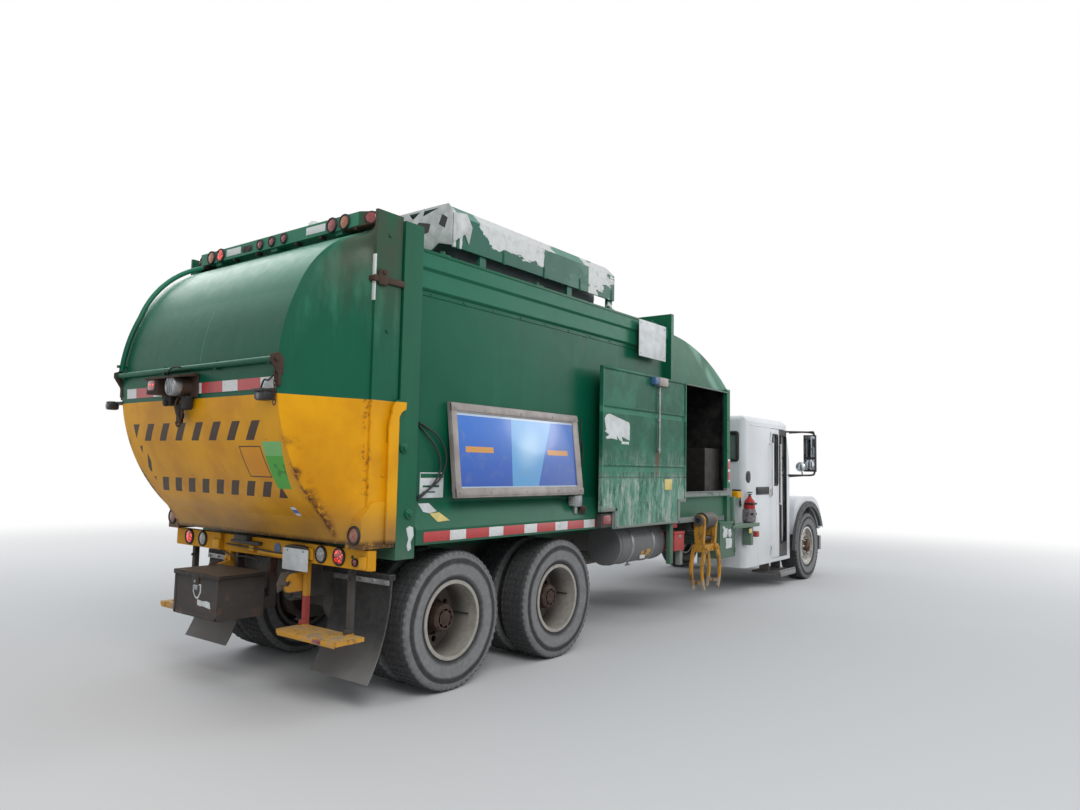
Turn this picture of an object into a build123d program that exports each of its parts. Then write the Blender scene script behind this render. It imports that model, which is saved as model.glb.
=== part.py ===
from build123d import *
import math
import os

# Sizes in millimetres. While it is built, X runs forward from the middle of the rear
# axle pair, Y to the left and Z up from the ground. The finished truck is centred along X.

# Running clearances
shaft_gap = 0.08
seat_gap = 0.3
moving_gap = 6

# Wheels and axles
tyre_radius = 525
rear_tyre_width = 280
front_tyre_width = 300
rim_radius = 285
rim_wall = 14
rim_flange = 14
flange_thickness = 10
bead_gap = 1.8
bead_share = 0.75
tread_share = 0.8
tandem_spacing = 1360
wheelbase = 7490
dual_middle_y = 910
dual_half_spacing = 170
front_wheel_y = 1060
rear_spindle_radius = 55
front_spindle_radius = 42
rear_axle_width = 130
rear_axle_height = 140
rear_axle_end_y = 560
kingpin_y = 880
kingpin_radius = 22
hand_holes = 8
hand_hole_radius = 26

# Frame
rail_outer_y = 430
rail_flange = 80
rail_web = 10
rail_bottom_z = 700
rail_top_z = 960
rail_rear_x = -1500
rail_front_x = 8060
cross_member_width = 60
cross_member_xs = [-1440, 1500, 2700, 4300, 5500]

# Body
body_half_width = 1180
body_wall = 50
body_rear_x = -1160
body_floor_z = 1120
body_floor_thickness = 50
body_roof_z = 3290
rail_proud = 42
rail_half_width = body_half_width + rail_proud
top_rail_height = 150
ring_rear_x = 2700
ring_front_x = 2760
ring_top_z = 3450
ring_proud = 75
ring_half_width = body_half_width + ring_proud
post_front_x = -1160
post_rear_x = -1340
post_proud = 70
post_half_width = body_half_width + post_proud
post_bottom_z = 1030
post_top_z = 3440
ledge_top_z = 1420
ledge_edge_z = 1230
ledge_bottom_z = 1120
ledge_proud = 82
ledge_half_width = body_half_width + ledge_proud
ledge_plate = 20

# Hopper
hopper_front_x = 4400
hopper_bottom_z = 750
hopper_door_rear_x = 2900
hopper_door_front_x = 4310
hopper_sill_z = 1430
hopper_door_top_z = 2700
hood_rear_z = 3250
hood_front_z = 2740
hood_bend_x = 3700
hood_bend_z = 3085
hood_plate = 30
hopper_wall = 40
ram_front_x = 4320
ram_length = 420
ram_height = 800

# Guard panel, side sign and lamps on the right side
guard_rear_x = 1140
guard_front_x = 2890
guard_bottom_z = 1110
guard_top_z = 2680
guard_proud = 165
guard_outer_y = -(body_half_width + guard_proud)
guard_plate = 30
sign_rear_x = -800
sign_front_x = 900
sign_bottom_z = 1450
sign_top_z = 2180
sign_lean = 90
sign_thickness = 30

# Roof tanks and cover
cover_rear_x = -550
cover_front_x = 1950
cover_lift = 200
cover_rise = 580
cover_bottom_z = body_roof_z + cover_lift
cover_top_z = body_roof_z + cover_rise
cover_inset = 220
cover_half_width = body_half_width - cover_inset
cover_plate = 20
roof_tank_radius = 160

# Tailgate
tailgate_front_x = -1352
tailgate_rear_x = -2200
cheek_width = 170
tailgate_post_inset = 40
tailgate_post_y = post_half_width - tailgate_post_inset
tailgate_seam_y = tailgate_post_y - cheek_width
tailgate_bottom_z = 1150
tailgate_bottom_x = -1665
tailgate_top_z = 3350
tailgate_top_x = -1500
tailgate_belly_z = 2280
belly_radius = 1310
belly_below = 960
belly_above = 560
crown_share = 0.42
crown_rise = 0.66
tailgate_side_x = -1590
side_plate_thickness = 25
side_plate_top_z = 3465
hook_plate = 16
hook_tip_z = 2140
lamp_box_x = -1650
lamp_box_z = 1330
lamp_box_width = 160
lamp_box_inner_y = post_half_width - lamp_box_width
lamp_box_drop = 28
tailgate_wall = 45
tailgate_pin_x = -1375
tailgate_pin_z = 3500
tailgate_pin_radius = 20
rod_radius = 20
rod_gap = 6
rod_x = tailgate_rear_x - rod_gap - rod_radius
rod_z = 2350
pipe_radius = 20
pipe_offset = 26
work_lamp_reach = 150

# Rear end
light_bar_x = -1600
light_bar_end = 160
light_bar_half = tailgate_post_y - light_bar_end
light_bar_depth = 120
light_bar_bottom_z = 3375
light_bar_top_z = 3475
bumper_rear_x = -1545
bumper_bottom_z = 972
bumper_top_z = 1108
bumper_end_inset = 10
bumper_half = post_half_width - bumper_end_inset
lamp_plate_inner_y = 560
lamp_plate = 30
lens_depth = 16
tow_hole_radius = 22
tow_plate = 30
box_left_y = 420
box_right_y = -180
box_rear_x = -2010
box_front_x = -1640
box_bottom_z = 560
box_top_z = 880
box_lid = 24
lid_pin_offset = 10
lid_pin_radius = 7
step_z = 520
flap_plate = 10

# Arm
arm_front_x = 3600
arm_rear_x = 3300
boom_bottom_z = 985
boom_end_inset = 30
boom_outer_y = -(body_half_width - boom_end_inset)
boom_inner_y = 900
sleeve_wall = 14
boom_top_z = body_floor_z - sleeve_wall
pivot_proud = 150
pivot_y = -(body_half_width + pivot_proud)
pivot_z = 1110
pivot_radius = 90
head_z = 860
finger_pin_radius = 18
finger_reach = 470

# Cab
cab_rear_x = 5050
cab_half_width = 1150
cab_wall = 45
cab_corner = 90
cab_floor_z = 960
cab_floor_plate = 40
cab_cowl_x = 6870
cab_cowl_z = 1600
cab_header_x = 6640
cab_eave_z = 2360
cab_roof_z = 2490
well_floor_z = 430
well_inner_y = -450
door_thickness = 35
door_bottom_z = 440
door_top_z = 2320
right_door_rear_x = 6020
right_door_front_x = 6680
left_door_rear_x = 5700
left_door_bottom_z = 1000
fold_edge = 12
mirror_proud = 310
mirror_outer_y = cab_half_width + mirror_proud
corner_window_width = 440
corner_window_inset = 90
screen_inset = 130
screen_half = cab_half_width - screen_inset
hinge_radius = 9
hinge_offset = 10.5

# Hood
hood_front_x = 8270
hood_rear_x = 6900
hood_rear_half = 800
hood_front_half = 640
hood_cowl_z = 1590
hood_nose_z = 1370
hood_bottom_z = 800
hood_wall = 22
hood_shoulder = 130
fender_proud = 40
fender_outer_y = cab_half_width + fender_proud
fender_rear_x = 6900
fender_top_z = 1300
arch_radius = 625
flare_proud = 45
flare_outer_y = fender_outer_y + flare_proud
flare_width = 80
hood_pin_x = 8170
hood_pin_z = 700
bumper_front_x = 8350
bumper_half_width = 1180
front_bumper_bottom_z = 420
front_bumper_top_z = 640

row_shift_x = -(bumper_front_x + tailgate_rear_x - work_lamp_reach) / 2
front_axle_x = wheelbase


# Shapes
def slab(x, y, z):
    "A box between two values on each axis."
    size = [max(pair) - min(pair) for pair in (x, y, z)]
    middle = [(pair[0] + pair[1]) / 2 for pair in (x, y, z)]
    return Pos(*middle) * Box(*size)


def outlined(corners, place):
    """A flat face from its corners. A corner is (a, b), or (a, b, via_a, via_b) where an arc
    through the via point leads to the next corner. place turns (a, b) into a point."""
    edges = []
    for number, corner in enumerate(corners):
        following = corners[(number + 1) % len(corners)]
        start = place(*corner[:2])
        end = place(*following[:2])
        if len(corner) == 4:
            edges.append(Edge.make_three_point_arc(start, place(*corner[2:]), end))
        else:
            edges.append(Edge.make_line(start, end))
    return Face(Wire(edges))


def side_face(outline, y):
    return outlined(outline, lambda x, z: (x, y, z))


def side_plate(outline, y):
    "An outline of (x, z) corners made solid between two Y values."
    return extrude(side_face(outline, y[0]), amount=y[1] - y[0], dir=(0, 1, 0))


def cross_plate(outline, x):
    "An outline of (y, z) corners made solid between two X values."
    face = outlined(outline, lambda y, z: (x[0], y, z))
    return extrude(face, amount=x[1] - x[0], dir=(1, 0, 0))


def flat_plate(outline, z):
    "An outline of (x, y) corners made solid between two Z values."
    face = outlined(outline, lambda x, y: (x, y, z[0]))
    return extrude(face, amount=z[1] - z[0], dir=(0, 0, 1))


def rod(start, end, radius):
    "A round bar between two points."
    line = Vector(*end) - Vector(*start)
    plane = Plane(origin=start, z_dir=line)
    return extrude(plane * Circle(radius), amount=line.length)


def spun(profile, place):
    "A ring turned about a line along Y, from (radius, outward) corners."
    face = outlined(profile, lambda radius, outward: (radius, outward, 0))
    return Pos(*place) * revolve(face, axis=Axis.Y, revolution_arc=360)


def mirrored(part):
    "The same piece on the other side of the truck."
    return mirror(part, about=Plane.XZ)


def both_sides(part):
    return [part, mirrored(part)]


def joined(*parts):
    whole = parts[0]
    for part in parts[1:]:
        whole = whole + part
    return whole


# Wheels and axles
def tyre(width, place):
    "A tyre on a wheel centre, outward along +Y; its beads lie flat against the rim's flanges."
    half = width / 2
    seat = half * bead_share
    bead = rim_radius + bead_gap
    lip = rim_radius + rim_flange + bead_gap
    profile = [
        (bead, -seat), (lip, -seat), (tyre_radius - 90, -half), (tyre_radius, -half * tread_share),
        (tyre_radius, half * tread_share), (tyre_radius - 90, half), (lip, seat), (bead, seat)]
    return spun(profile, place)


def rim_with_holes(profile, place, disc_y, hole_ring):
    rim = spun(profile, place)
    for number in range(hand_holes):
        turn = math.radians(360 / hand_holes * (number + 0.5))
        x = place[0] + hole_ring * math.cos(turn)
        z = place[2] + hole_ring * math.sin(turn)
        rim = rim - rod((x, disc_y - 30, z), (x, disc_y + 30, z), hand_hole_radius)
    return rim


def rear_rims(place):
    "Two rims bolted back to back with their hub and drum."
    inner = rim_radius - rim_wall
    flange = rim_radius + rim_flange
    bore = rear_spindle_radius + shaft_gap
    seat = dual_half_spacing + rear_tyre_width / 2 * bead_share
    end = seat + flange_thickness
    profile = [
        (bore, -300), (215, -300), (215, -60), (150, -60), (150, -10), (inner, -10), (inner, -end),
        (flange, -end), (flange, -seat), (rim_radius, -seat), (rim_radius, seat), (flange, seat),
        (flange, end), (inner, end), (inner, 10), (150, 10), (110, 60), (105, 190), (85, 205),
        (0, 205), (0, 160), (bore, 160)]
    return rim_with_holes(profile, place, place[1], 208)


def front_rim(place):
    inner = rim_radius - rim_wall
    flange = rim_radius + rim_flange
    bore = front_spindle_radius + shaft_gap
    seat = front_tyre_width / 2 * bead_share
    end = seat + flange_thickness
    profile = [
        (bore, -85), (180, -85), (180, 30), (150, 78), (inner, 60), (inner, -end), (flange, -end),
        (flange, -seat), (rim_radius, -seat), (rim_radius, seat), (flange, seat), (flange, end),
        (inner, end), (inner, 74), (150, 92), (105, 95), (95, 145), (0, 150), (0, 110), (bore, 110)]
    return rim_with_holes(profile, place, place[1] + 70, 208)


def rear_axle(x):
    end = rear_axle_end_y
    z = tyre_radius
    half_x = rear_axle_width / 2
    half_z = rear_axle_height / 2
    beam = slab((x - half_x, x + half_x), (-end, end), (z - half_z, z + half_z))
    bowl = rod((x, -130, z), (x, 130, z), 190)
    nose = rod((x, 0, z), (x + 330, 0, z), 90)
    spindle_end = dual_middle_y + 150
    spindles = rod((x, -spindle_end, z), (x, spindle_end, z), rear_spindle_radius)
    return joined(beam, bowl, nose, spindles)


def front_axle():
    x = front_axle_x
    beam = slab((x - 50, x + 50), (-kingpin_y, kingpin_y), (470, 560))
    for side in (-1, 1):
        y = side * kingpin_y
        beam = beam + rod((x, y, 450), (x, y, 600), 45)
        beam = beam - rod((x, y, 440), (x, y, 610), kingpin_radius + shaft_gap)
    return beam


def knuckle_left():
    "Yoke, kingpin and spindle that the left front wheel turns on."
    x = front_axle_x
    z = tyre_radius
    upper = slab((x - 55, x + 55), (kingpin_y - 45, kingpin_y + 85), (605, 650))
    lower = slab((x - 55, x + 55), (kingpin_y - 45, kingpin_y + 85), (400, 445))
    back = slab((x - 60, x + 60), (kingpin_y + 55, kingpin_y + 85), (400, 650))
    pin = rod((x, kingpin_y, 400), (x, kingpin_y, 650), kingpin_radius)
    spindle = rod((x, kingpin_y + 85, z), (x, front_wheel_y + 100, z), front_spindle_radius)
    return joined(upper, lower, back, pin, spindle)


def suspension():
    "Rear walking beams with leaf springs, and the front leaf springs."
    axle_bottom = tyre_radius - rear_axle_height / 2
    beam = slab((-770, 770), (470, 550), (axle_bottom - 120, axle_bottom))
    saddle = slab((-90, 90), (470, 550), (axle_bottom, 600))
    seat = slab((-120, 120), (350, 550), (600, rail_bottom_z))
    for half, low, high in ((520, 650, 668), (420, 632, 650), (320, 614, 632)):
        seat = seat + slab((-half, half), (470, 550), (low, high))
    rear = joined(beam, saddle, seat)
    x = front_axle_x
    front = slab((x - 560, x + 500), (365, 435), (610, 636))
    front = front + slab((x - 90, x + 90), (365, 435), (560, 610))
    for hanger in (x - 540, x + 480):
        front = front + slab((hanger - 25, hanger + 25), (365, 435), (636, rail_bottom_z))
    return both_sides(rear) + both_sides(front)


def drivetrain():
    "Engine and gearbox as one block, with the driveshafts to the rear axles."
    web = rail_outer_y - rail_web
    engine = slab((6990, 7870), (-300, 300), (590, 1290))
    engine = engine + slab((6100, 6990), (-200, 200), (600, 930))
    for x in (6300, 7100):
        engine = engine + slab((x, x + 80), (-web, web), (760, 800))
    z = tyre_radius
    nose_x = tandem_spacing / 2 + 330
    shaft = rod((nose_x, 0, z), (6110, 0, 640), 50)
    shaft = shaft - slab((nose_x - 100, nose_x), (-100, 100), (z - 100, z + 100))
    between = rod((-tandem_spacing / 2 + 330, 0, z), (tandem_spacing / 2 - 190, 0, z), 45)
    fan = rod((7870, 0, 1000), (7930, 0, 1000), 250)
    radiator = slab((7935, 8010), (-400, 400), (rail_top_z, 1260))
    shroud = slab((7935, 8010), (-345, 345), (640, rail_top_z))
    return [joined(engine, shaft, fan), between, joined(radiator, shroud)]


# Frame and underbody
def frame_rails():
    z0 = rail_bottom_z
    z1 = rail_top_z
    outer = rail_outer_y
    flange = rail_outer_y - rail_flange
    web = rail_outer_y - rail_web
    section = [(flange, z0), (outer, z0), (outer, z1), (flange, z1), (flange, z1 - rail_web),
               (web, z1 - rail_web), (web, z0 + rail_web), (flange, z0 + rail_web)]
    rail = cross_plate(section, (rail_rear_x, rail_front_x))
    frame = joined(rail, mirrored(rail))
    half = cross_member_width / 2
    for x in cross_member_xs:
        frame = frame + slab((x - half, x + half), (-web, web), (z0 + rail_web, z1 - rail_web))
    return frame


def side_tanks():
    "The round air tank on the right, and the oil tank and battery box on the left."
    air = rod((1740, -1000, 900), (2700, -1000, 900), 200)
    for x in (1950, 2480):
        air = air + slab((x - 25, x + 25), (-1000, -rail_outer_y), (760, 800))
    oil = slab((3000, 4250), (620, 1120), (500, 940))
    for x in (3200, 4000):
        oil = oil + slab((x - 30, x + 30), (rail_outer_y, 620), (740, 920))
    battery = slab((5750, 6650), (640, 1120), (420, 900))
    battery = battery + slab((5750, 6650), (rail_outer_y, 640), (740, 860))
    battery = battery - slab((5740, 6660), (980, 1130), (650, 910))
    return [air, oil, battery]


# Load body
def body_sides():
    "Smooth side walls with a stepped rail along the top."
    y0 = body_half_width - body_wall
    z0 = body_floor_z
    z1 = body_roof_z
    step = (rail_half_width - body_half_width) / 2
    section = [
        (y0, z0), (body_half_width, z0), (body_half_width, z1 - 2 * top_rail_height),
        (body_half_width + step, z1 - 2 * top_rail_height + 20),
        (body_half_width + step, z1 - top_rail_height),
        (rail_half_width, z1 - top_rail_height + 20), (rail_half_width, z1), (y0, z1)]
    return both_sides(cross_plate(section, (body_rear_x, ring_rear_x)))


def body_floor():
    y0 = body_half_width - body_wall
    z0 = body_floor_z
    z1 = z0 + body_floor_thickness
    floor = slab((body_rear_x, ring_rear_x), (-y0, y0), (z0, z1))
    sill = slab((body_rear_x, ring_rear_x), (330, rail_outer_y), (rail_top_z, z0))
    return joined(floor, sill, mirrored(sill))


def body_roof():
    y0 = body_half_width - body_wall
    roof = slab((body_rear_x, ring_rear_x), (-y0, y0), (body_roof_z - 60, body_roof_z - 10))
    for x in (-1120, -200, 1100, 2400):
        roof = roof + slab((x, x + 80), (-y0, y0), (body_roof_z - 10, body_roof_z + 40))
    return roof


def side_ledges():
    "Sloped ledges over the rear wheels, with a flat edge for the reflective strip."
    y0 = body_half_width
    y1 = ledge_half_width
    t = ledge_plate
    section = [
        (y0, ledge_top_z), (y1, ledge_edge_z), (y1, ledge_bottom_z), (y1 - t, ledge_bottom_z),
        (y1 - t, ledge_edge_z - 8), (y0, ledge_top_z - 28)]
    length = (body_rear_x, ring_rear_x)
    left = cross_plate(section, length)
    for x in (body_rear_x, 400, 1700, ring_rear_x - 20):
        rib = [(y0, ledge_top_z - 28), (y1 - t, ledge_edge_z - 8), (y1 - t, ledge_bottom_z),
               (y0, ledge_bottom_z)]
        left = left + cross_plate(rib, (x, x + 20))
    return both_sides(left)


def ring_frame(x, half, bottom, top, post, beam):
    "A door-shaped frame across the body."
    outer = slab(x, (-half, half), (bottom, top))
    inner = slab((x[0] - 1, x[1] + 1), (-half + post, half - post), (bottom + beam, top - beam))
    return outer - inner


def rear_frame():
    "Rear posts and header, with the lugs that carry the tailgate pins."
    x = (post_rear_x, post_front_x)
    frame = slab(x, (-post_half_width, post_half_width), (post_bottom_z, post_top_z))
    opening = body_half_width - body_wall
    frame = frame - slab((x[0] - 1, x[1] + 1), (-opening, opening),
                         (body_floor_z + body_floor_thickness, body_roof_z - 60))
    for y in (-900, 900):
        lug = slab((tailgate_pin_x - 40, tailgate_pin_x + 140), (y - 20, y + 20),
                   (post_top_z, tailgate_pin_z + 45))
        pin = rod((tailgate_pin_x, y - 70, tailgate_pin_z), (tailgate_pin_x, y + 70, tailgate_pin_z),
                  tailgate_pin_radius)
        frame = joined(frame, lug, pin)
    return frame


# Hopper
def hopper_shell():
    "Hopper box with its loading door in the right wall, and the ring it hangs from."
    y1 = body_half_width
    y0 = y1 - hopper_wall
    ring = ring_frame((ring_rear_x, ring_front_x), ring_half_width, body_floor_z, ring_top_z,
                      ring_half_width - y0, body_floor_thickness)
    ring = ring - slab((ring_rear_x - 1, ring_front_x + 1), (-700, 700), (3300, 3460))
    walls = slab((ring_front_x, hopper_front_x), (-y1, y1), (body_floor_z, hood_front_z))
    walls = walls - slab((ring_front_x - 1, hopper_front_x - hopper_wall), (-y0, y0),
                         (body_floor_z + body_floor_thickness, hood_front_z + 1))
    door = slab((hopper_door_rear_x, hopper_door_front_x), (-y1 - 1, -y0 + 1),
                (hopper_sill_z, hopper_door_top_z))
    posts = slab((hopper_door_front_x, hopper_front_x), (-y1 - 40, -y1),
                 (hopper_bottom_z + 300, hood_front_z))
    sill = slab((ring_front_x, hopper_front_x), (-y1 - 40, -y1), (hopper_sill_z - 60, hopper_sill_z))
    skirts = slab((4200, hopper_front_x), (330, rail_outer_y), (rail_top_z, body_floor_z))
    skirts = joined(skirts, mirrored(skirts))
    return joined(ring, walls - door, posts, sill, skirts)


def hopper_roof_outline(inset):
    "Side outline under one arc that falls towards the cab."
    return [(ring_front_x, hood_front_z), (ring_front_x, hood_rear_z - inset, hood_bend_x, hood_bend_z - inset),
            (hopper_front_x - inset, hood_front_z)]


def hopper_hood():
    "Curved roof over the hopper, open underneath."
    y1 = body_half_width
    shell = side_plate(hopper_roof_outline(0), (-y1, y1))
    return shell - side_plate(hopper_roof_outline(hood_plate), (-y1 + hood_plate, y1 - hood_plate))


def packer_ram():
    "Plain pusher block that slides back along the hopper floor."
    y = body_half_width - hopper_wall - moving_gap - 30
    z0 = body_floor_z + body_floor_thickness + seat_gap
    return slab((ram_front_x - ram_length, ram_front_x), (-y, y), (z0, z0 + ram_height))


def guard_panel():
    "Ribbed guard that stands proud of the right side, with a notch at each lower corner."
    y1 = guard_outer_y
    y0 = y1 + guard_plate
    x0 = guard_rear_x
    x1 = guard_front_x
    z0 = guard_bottom_z
    z1 = guard_top_z
    outline = [(x0 + 250, z0), (x0 + 250, z0 + 170), (x0, z0 + 170), (x0, z1), (x1, z1),
               (x1, z0 + 260), (x1 - 140, z0 + 260), (x1 - 140, z0)]
    panel = side_plate(outline, (y1, y0))
    wall = -body_half_width
    for z in (z0 + 560, z0 + 1130):
        panel = panel - slab((x0 - 1, x1 + 1), (y1 - 1, y1 + 12), (z, z + 50))
    for x in (x0 + 260, x1 - 240):
        panel = panel + slab((x, x + 40), (y0, -ledge_half_width), (z0 + 30, z1 - 60))
        panel = panel + slab((x, x + 40), (y0, wall), (ledge_top_z + 60, z1 - 400))
    return panel


def side_sign():
    "Blank framed board that leans out from the right side."
    y_top = -body_half_width
    y_low = y_top - sign_lean
    t = sign_thickness
    section = [(y_top - t, sign_top_z), (y_top, sign_top_z), (y_low, sign_bottom_z),
               (y_low - t, sign_bottom_z)]
    board = cross_plate(section, (sign_rear_x, sign_front_x))
    for x in (sign_rear_x + 80, sign_front_x - 120):
        bracket = [(y_top, sign_bottom_z + 40), (y_low + 2, sign_bottom_z + 40),
                   (y_top, sign_top_z - 60)]
        board = board + cross_plate(bracket, (x, x + 40))
    return board


# Roof
def roof_tanks():
    z = body_roof_z + 40 + 20 + roof_tank_radius
    tanks = []
    for y in (-640, -300, 300, 640):
        x0 = cover_rear_x + 200
        x1 = cover_front_x - 150
        tank = rod((x0, y, z), (x1, y, z), roof_tank_radius)
        for x in (-160, 1120):
            tank = tank + slab((x, x + 40), (y - 60, y + 60), (body_roof_z + 40, z))
        tanks.append(tank)
    return tanks


def tank_cover():
    "Open-ended cover over the roof tanks, with folded upper edges."
    y = cover_half_width
    z0 = cover_bottom_z
    z1 = cover_top_z
    t = cover_plate
    fold = 110
    outer = [(-y, z0), (-y, z1 - fold), (-y + fold, z1), (y - fold, z1), (y, z1 - fold), (y, z0)]
    inner = [(y - t, z0 - 1), (y - t, z1 - fold - 6), (y - fold - 6, z1 - t),
             (-y + fold + 6, z1 - t), (-y + t, z1 - fold - 6), (-y + t, z0 - 1)]
    x = (cover_rear_x, cover_front_x)
    cover = cross_plate(outer, x) - cross_plate(inner, (x[0] - 1, x[1] + 1))
    for x in (-200, 1100, 1860):
        leg = slab((x, x + 80), (y - t - 40, y - t), (body_roof_z + 40, z0 + 120))
        if x > 1200:
            leg = slab((x, x + 80), (y - t - 40, y - t), (body_roof_z - 10, z0 + 120))
        cover = joined(cover, leg, mirrored(leg))
    return cover


# Tailgate
def belly_x(z):
    "How far back the belly arc of the tailgate reaches at a height."
    return tailgate_rear_x + belly_radius - math.sqrt(belly_radius ** 2 - (z - tailgate_belly_z) ** 2)


def tailgate_outline(inset):
    "Side outline of the tailgate at its seams: a straight lower sheet, the belly arc and the crown arc."
    low_z = tailgate_belly_z - belly_below
    high_z = tailgate_belly_z + belly_above
    crown_x = belly_x(high_z) + crown_share * (tailgate_top_x - belly_x(high_z))
    crown_z = high_z + crown_rise * (tailgate_top_z - high_z)
    front = tailgate_front_x + (1 if inset else 0)
    return [(front, tailgate_bottom_z + inset), (tailgate_bottom_x + inset, tailgate_bottom_z + inset),
            (belly_x(low_z) + inset, low_z, tailgate_rear_x + inset, tailgate_belly_z),
            (belly_x(high_z) + inset, high_z, crown_x + inset, crown_z - inset),
            (tailgate_top_x + inset, tailgate_top_z - inset), (front, tailgate_top_z - inset)]


def cheek_outline(inset):
    "Outline of the flat side where a cheek ends, with a corner for each one of the seam's."
    back = tailgate_side_x + inset
    front = tailgate_front_x + (1 if inset else 0)
    levels = [corner[1] for corner in tailgate_outline(inset)[2:4]]
    bottom = tailgate_bottom_z + inset
    top = tailgate_top_z - inset
    return [(front, bottom), (back, bottom), (back, levels[0]), (back, levels[1]), (back, top), (front, top)]


def tailgate_form(inset):
    "Solid form of the tailgate: the middle between the seams and a slanted cheek at each side."
    seam = tailgate_seam_y - inset
    post = tailgate_post_y - inset
    whole = side_plate(tailgate_outline(inset), (-seam, seam))
    for side in (-1, 1):
        cheek = loft([side_face(tailgate_outline(inset), side * seam),
                      side_face(cheek_outline(inset), side * post)], ruled=True)
        whole = whole + cheek
    return whole


def tailgate_side_frame():
    "Flat side plate of the tailgate with its latch hook and the lamp housing at its foot."
    y = tailgate_post_y
    plate = slab((tailgate_side_x, tailgate_front_x), (y, y + side_plate_thickness),
                 (tailgate_bottom_z, side_plate_top_z))
    outer = post_half_width + moving_gap
    tip = hook_tip_z
    hook = side_plate([(-1450, tailgate_bottom_z), (-1360, tailgate_bottom_z), (-1360, tip - 150, -1350, tip - 95),
                       (-1300, tip - 60), (-1295, tip, -1370, tip + 5), (-1425, tip - 90, -1445, tip - 150),
                       (-1450, tip - 240)], (outer, outer + hook_plate))
    spacer = slab((-1445, -1365), (y + side_plate_thickness, outer), (tailgate_bottom_z, tip - 300))
    rear = lamp_box_x
    low = tailgate_bottom_z - lamp_box_drop
    housing = side_plate([(rear, low), (rear, lamp_box_z), (rear + 90, lamp_box_z + 110),
                          (tailgate_front_x, lamp_box_z + 110), (tailgate_front_x, low)],
                         (lamp_box_inner_y, post_half_width))
    return joined(plate, spacer, hook, housing)


def tailgate_shell():
    "Hollow rear door with a bulging back sheet and slanted cheeks."
    side = tailgate_side_frame()
    hollow = tailgate_form(tailgate_wall)
    shell = joined(tailgate_form(0), side, mirrored(side)) - hollow
    for y in (-900, 900):
        for turn in (-1, 1):
            middle = y + turn * 42
            ear = side_plate([(tailgate_pin_x + 29, tailgate_pin_z - 30),
                              (tailgate_pin_x + 29, tailgate_pin_z, tailgate_pin_x, tailgate_pin_z + 29),
                              (tailgate_pin_x - 29, tailgate_pin_z),
                              (tailgate_front_x - 120, tailgate_top_z - 20),
                              (tailgate_front_x - 10, tailgate_top_z - 20)],
                             (middle - 14, middle + 14))
            shell = shell + ear
        shell = shell - rod((tailgate_pin_x, y - 80, tailgate_pin_z),
                            (tailgate_pin_x, y + 80, tailgate_pin_z),
                            tailgate_pin_radius + shaft_gap)
    return shell


def tailgate_rod():
    "Long cross rod on the back sheet with its end brackets."
    x = rod_x
    z = rod_z
    bar = rod((x, -tailgate_seam_y - 20, z), (x, tailgate_seam_y + 20, z), rod_radius)
    for y in (-tailgate_seam_y + 60, -350, 350, tailgate_seam_y - 60):
        bar = bar + slab((x, tailgate_rear_x + 60), (y - 14, y + 14), (z - 30, z + 30))
    return bar - tailgate_form(0)


def seam_pipe():
    "Conduit that follows the left seam from the light bar down to the cross rod."
    corners = tailgate_outline(-pipe_offset)
    low, high, top = corners[2], corners[3], corners[4]
    y = tailgate_seam_y - pipe_radius
    belly = Edge.make_three_point_arc((low[0], y, low[1]), (low[2], y, low[3]), (high[0], y, high[1]))
    crown = Edge.make_three_point_arc((high[0], y, high[1]), (high[2], y, high[3]), (top[0], y, top[1]))
    pipe = Pos(high[0], y, high[1]) * Sphere(pipe_radius)
    for arc in (belly, crown):
        pipe = pipe + sweep(Plane(origin=arc @ 0, z_dir=arc % 0) * Circle(pipe_radius), path=arc)
    low_end = rod_z + rod_radius + 12
    room = slab((-2400, light_bar_x), (y - 100, y + 100), (low_end, light_bar_bottom_z + 20))
    clip = slab((belly_x(low_end) - 60, belly_x(low_end) + 60), (y - 14, y + 14), (low_end + 30, low_end + 50))
    return ((pipe & room) + clip) - tailgate_form(0)


def light_bar():
    half = light_bar_half
    x = light_bar_x
    wide = tailgate_post_y
    front = x + light_bar_depth
    outline = [(x, -half), (x, half), (front - 20, wide), (front, wide), (front, -wide), (front - 20, -wide)]
    bar = flat_plate(outline, (light_bar_bottom_z, light_bar_top_z))
    for y in (-800, 0, 800):
        bar = bar + slab((x + 20, tailgate_top_x + 60), (y - 40, y + 40),
                         (tailgate_top_z, light_bar_bottom_z + 20))
    return bar


# Rear end
def rear_bumper():
    "Lamp beam under the tailgate with its brackets, tow plates and steps."
    x0 = bumper_rear_x
    x1 = rail_rear_x
    beam = slab((x0, x1), (-bumper_half, bumper_half), (bumper_bottom_z, bumper_top_z))
    beam = beam + slab((x1, post_rear_x), (-520, -rail_outer_y - 2), (bumper_bottom_z, post_bottom_z))
    beam = beam + slab((x1, post_rear_x), (rail_outer_y + 2, 520), (bumper_bottom_z, post_bottom_z))
    for y in (-470, 470):
        plate = side_plate([(x0, 760), (x0 - 110, 760), (x0 - 150, 820), (x0 - 110, 880), (x0, 900)],
                           (y - tow_plate / 2, y + tow_plate / 2))
        plate = plate + slab((x0, x1), (y - tow_plate / 2, y + tow_plate / 2), (760, bumper_bottom_z))
        hole = rod((x0 - 100, y - 50, 820), (x0 - 100, y + 50, 820), tow_hole_radius)
        beam = beam + (plate - hole)
    for y in (-1020, -520, 520, 1020):
        beam = beam + slab((x1 - 40, x1), (y - 20, y + 20), (step_z, bumper_bottom_z))
    for y0, y1 in ((-1150, -480), (480, 1150)):
        beam = beam + slab((x0 - 190, x1), (y0, y1), (step_z - 30, step_z))
    return beam


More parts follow.
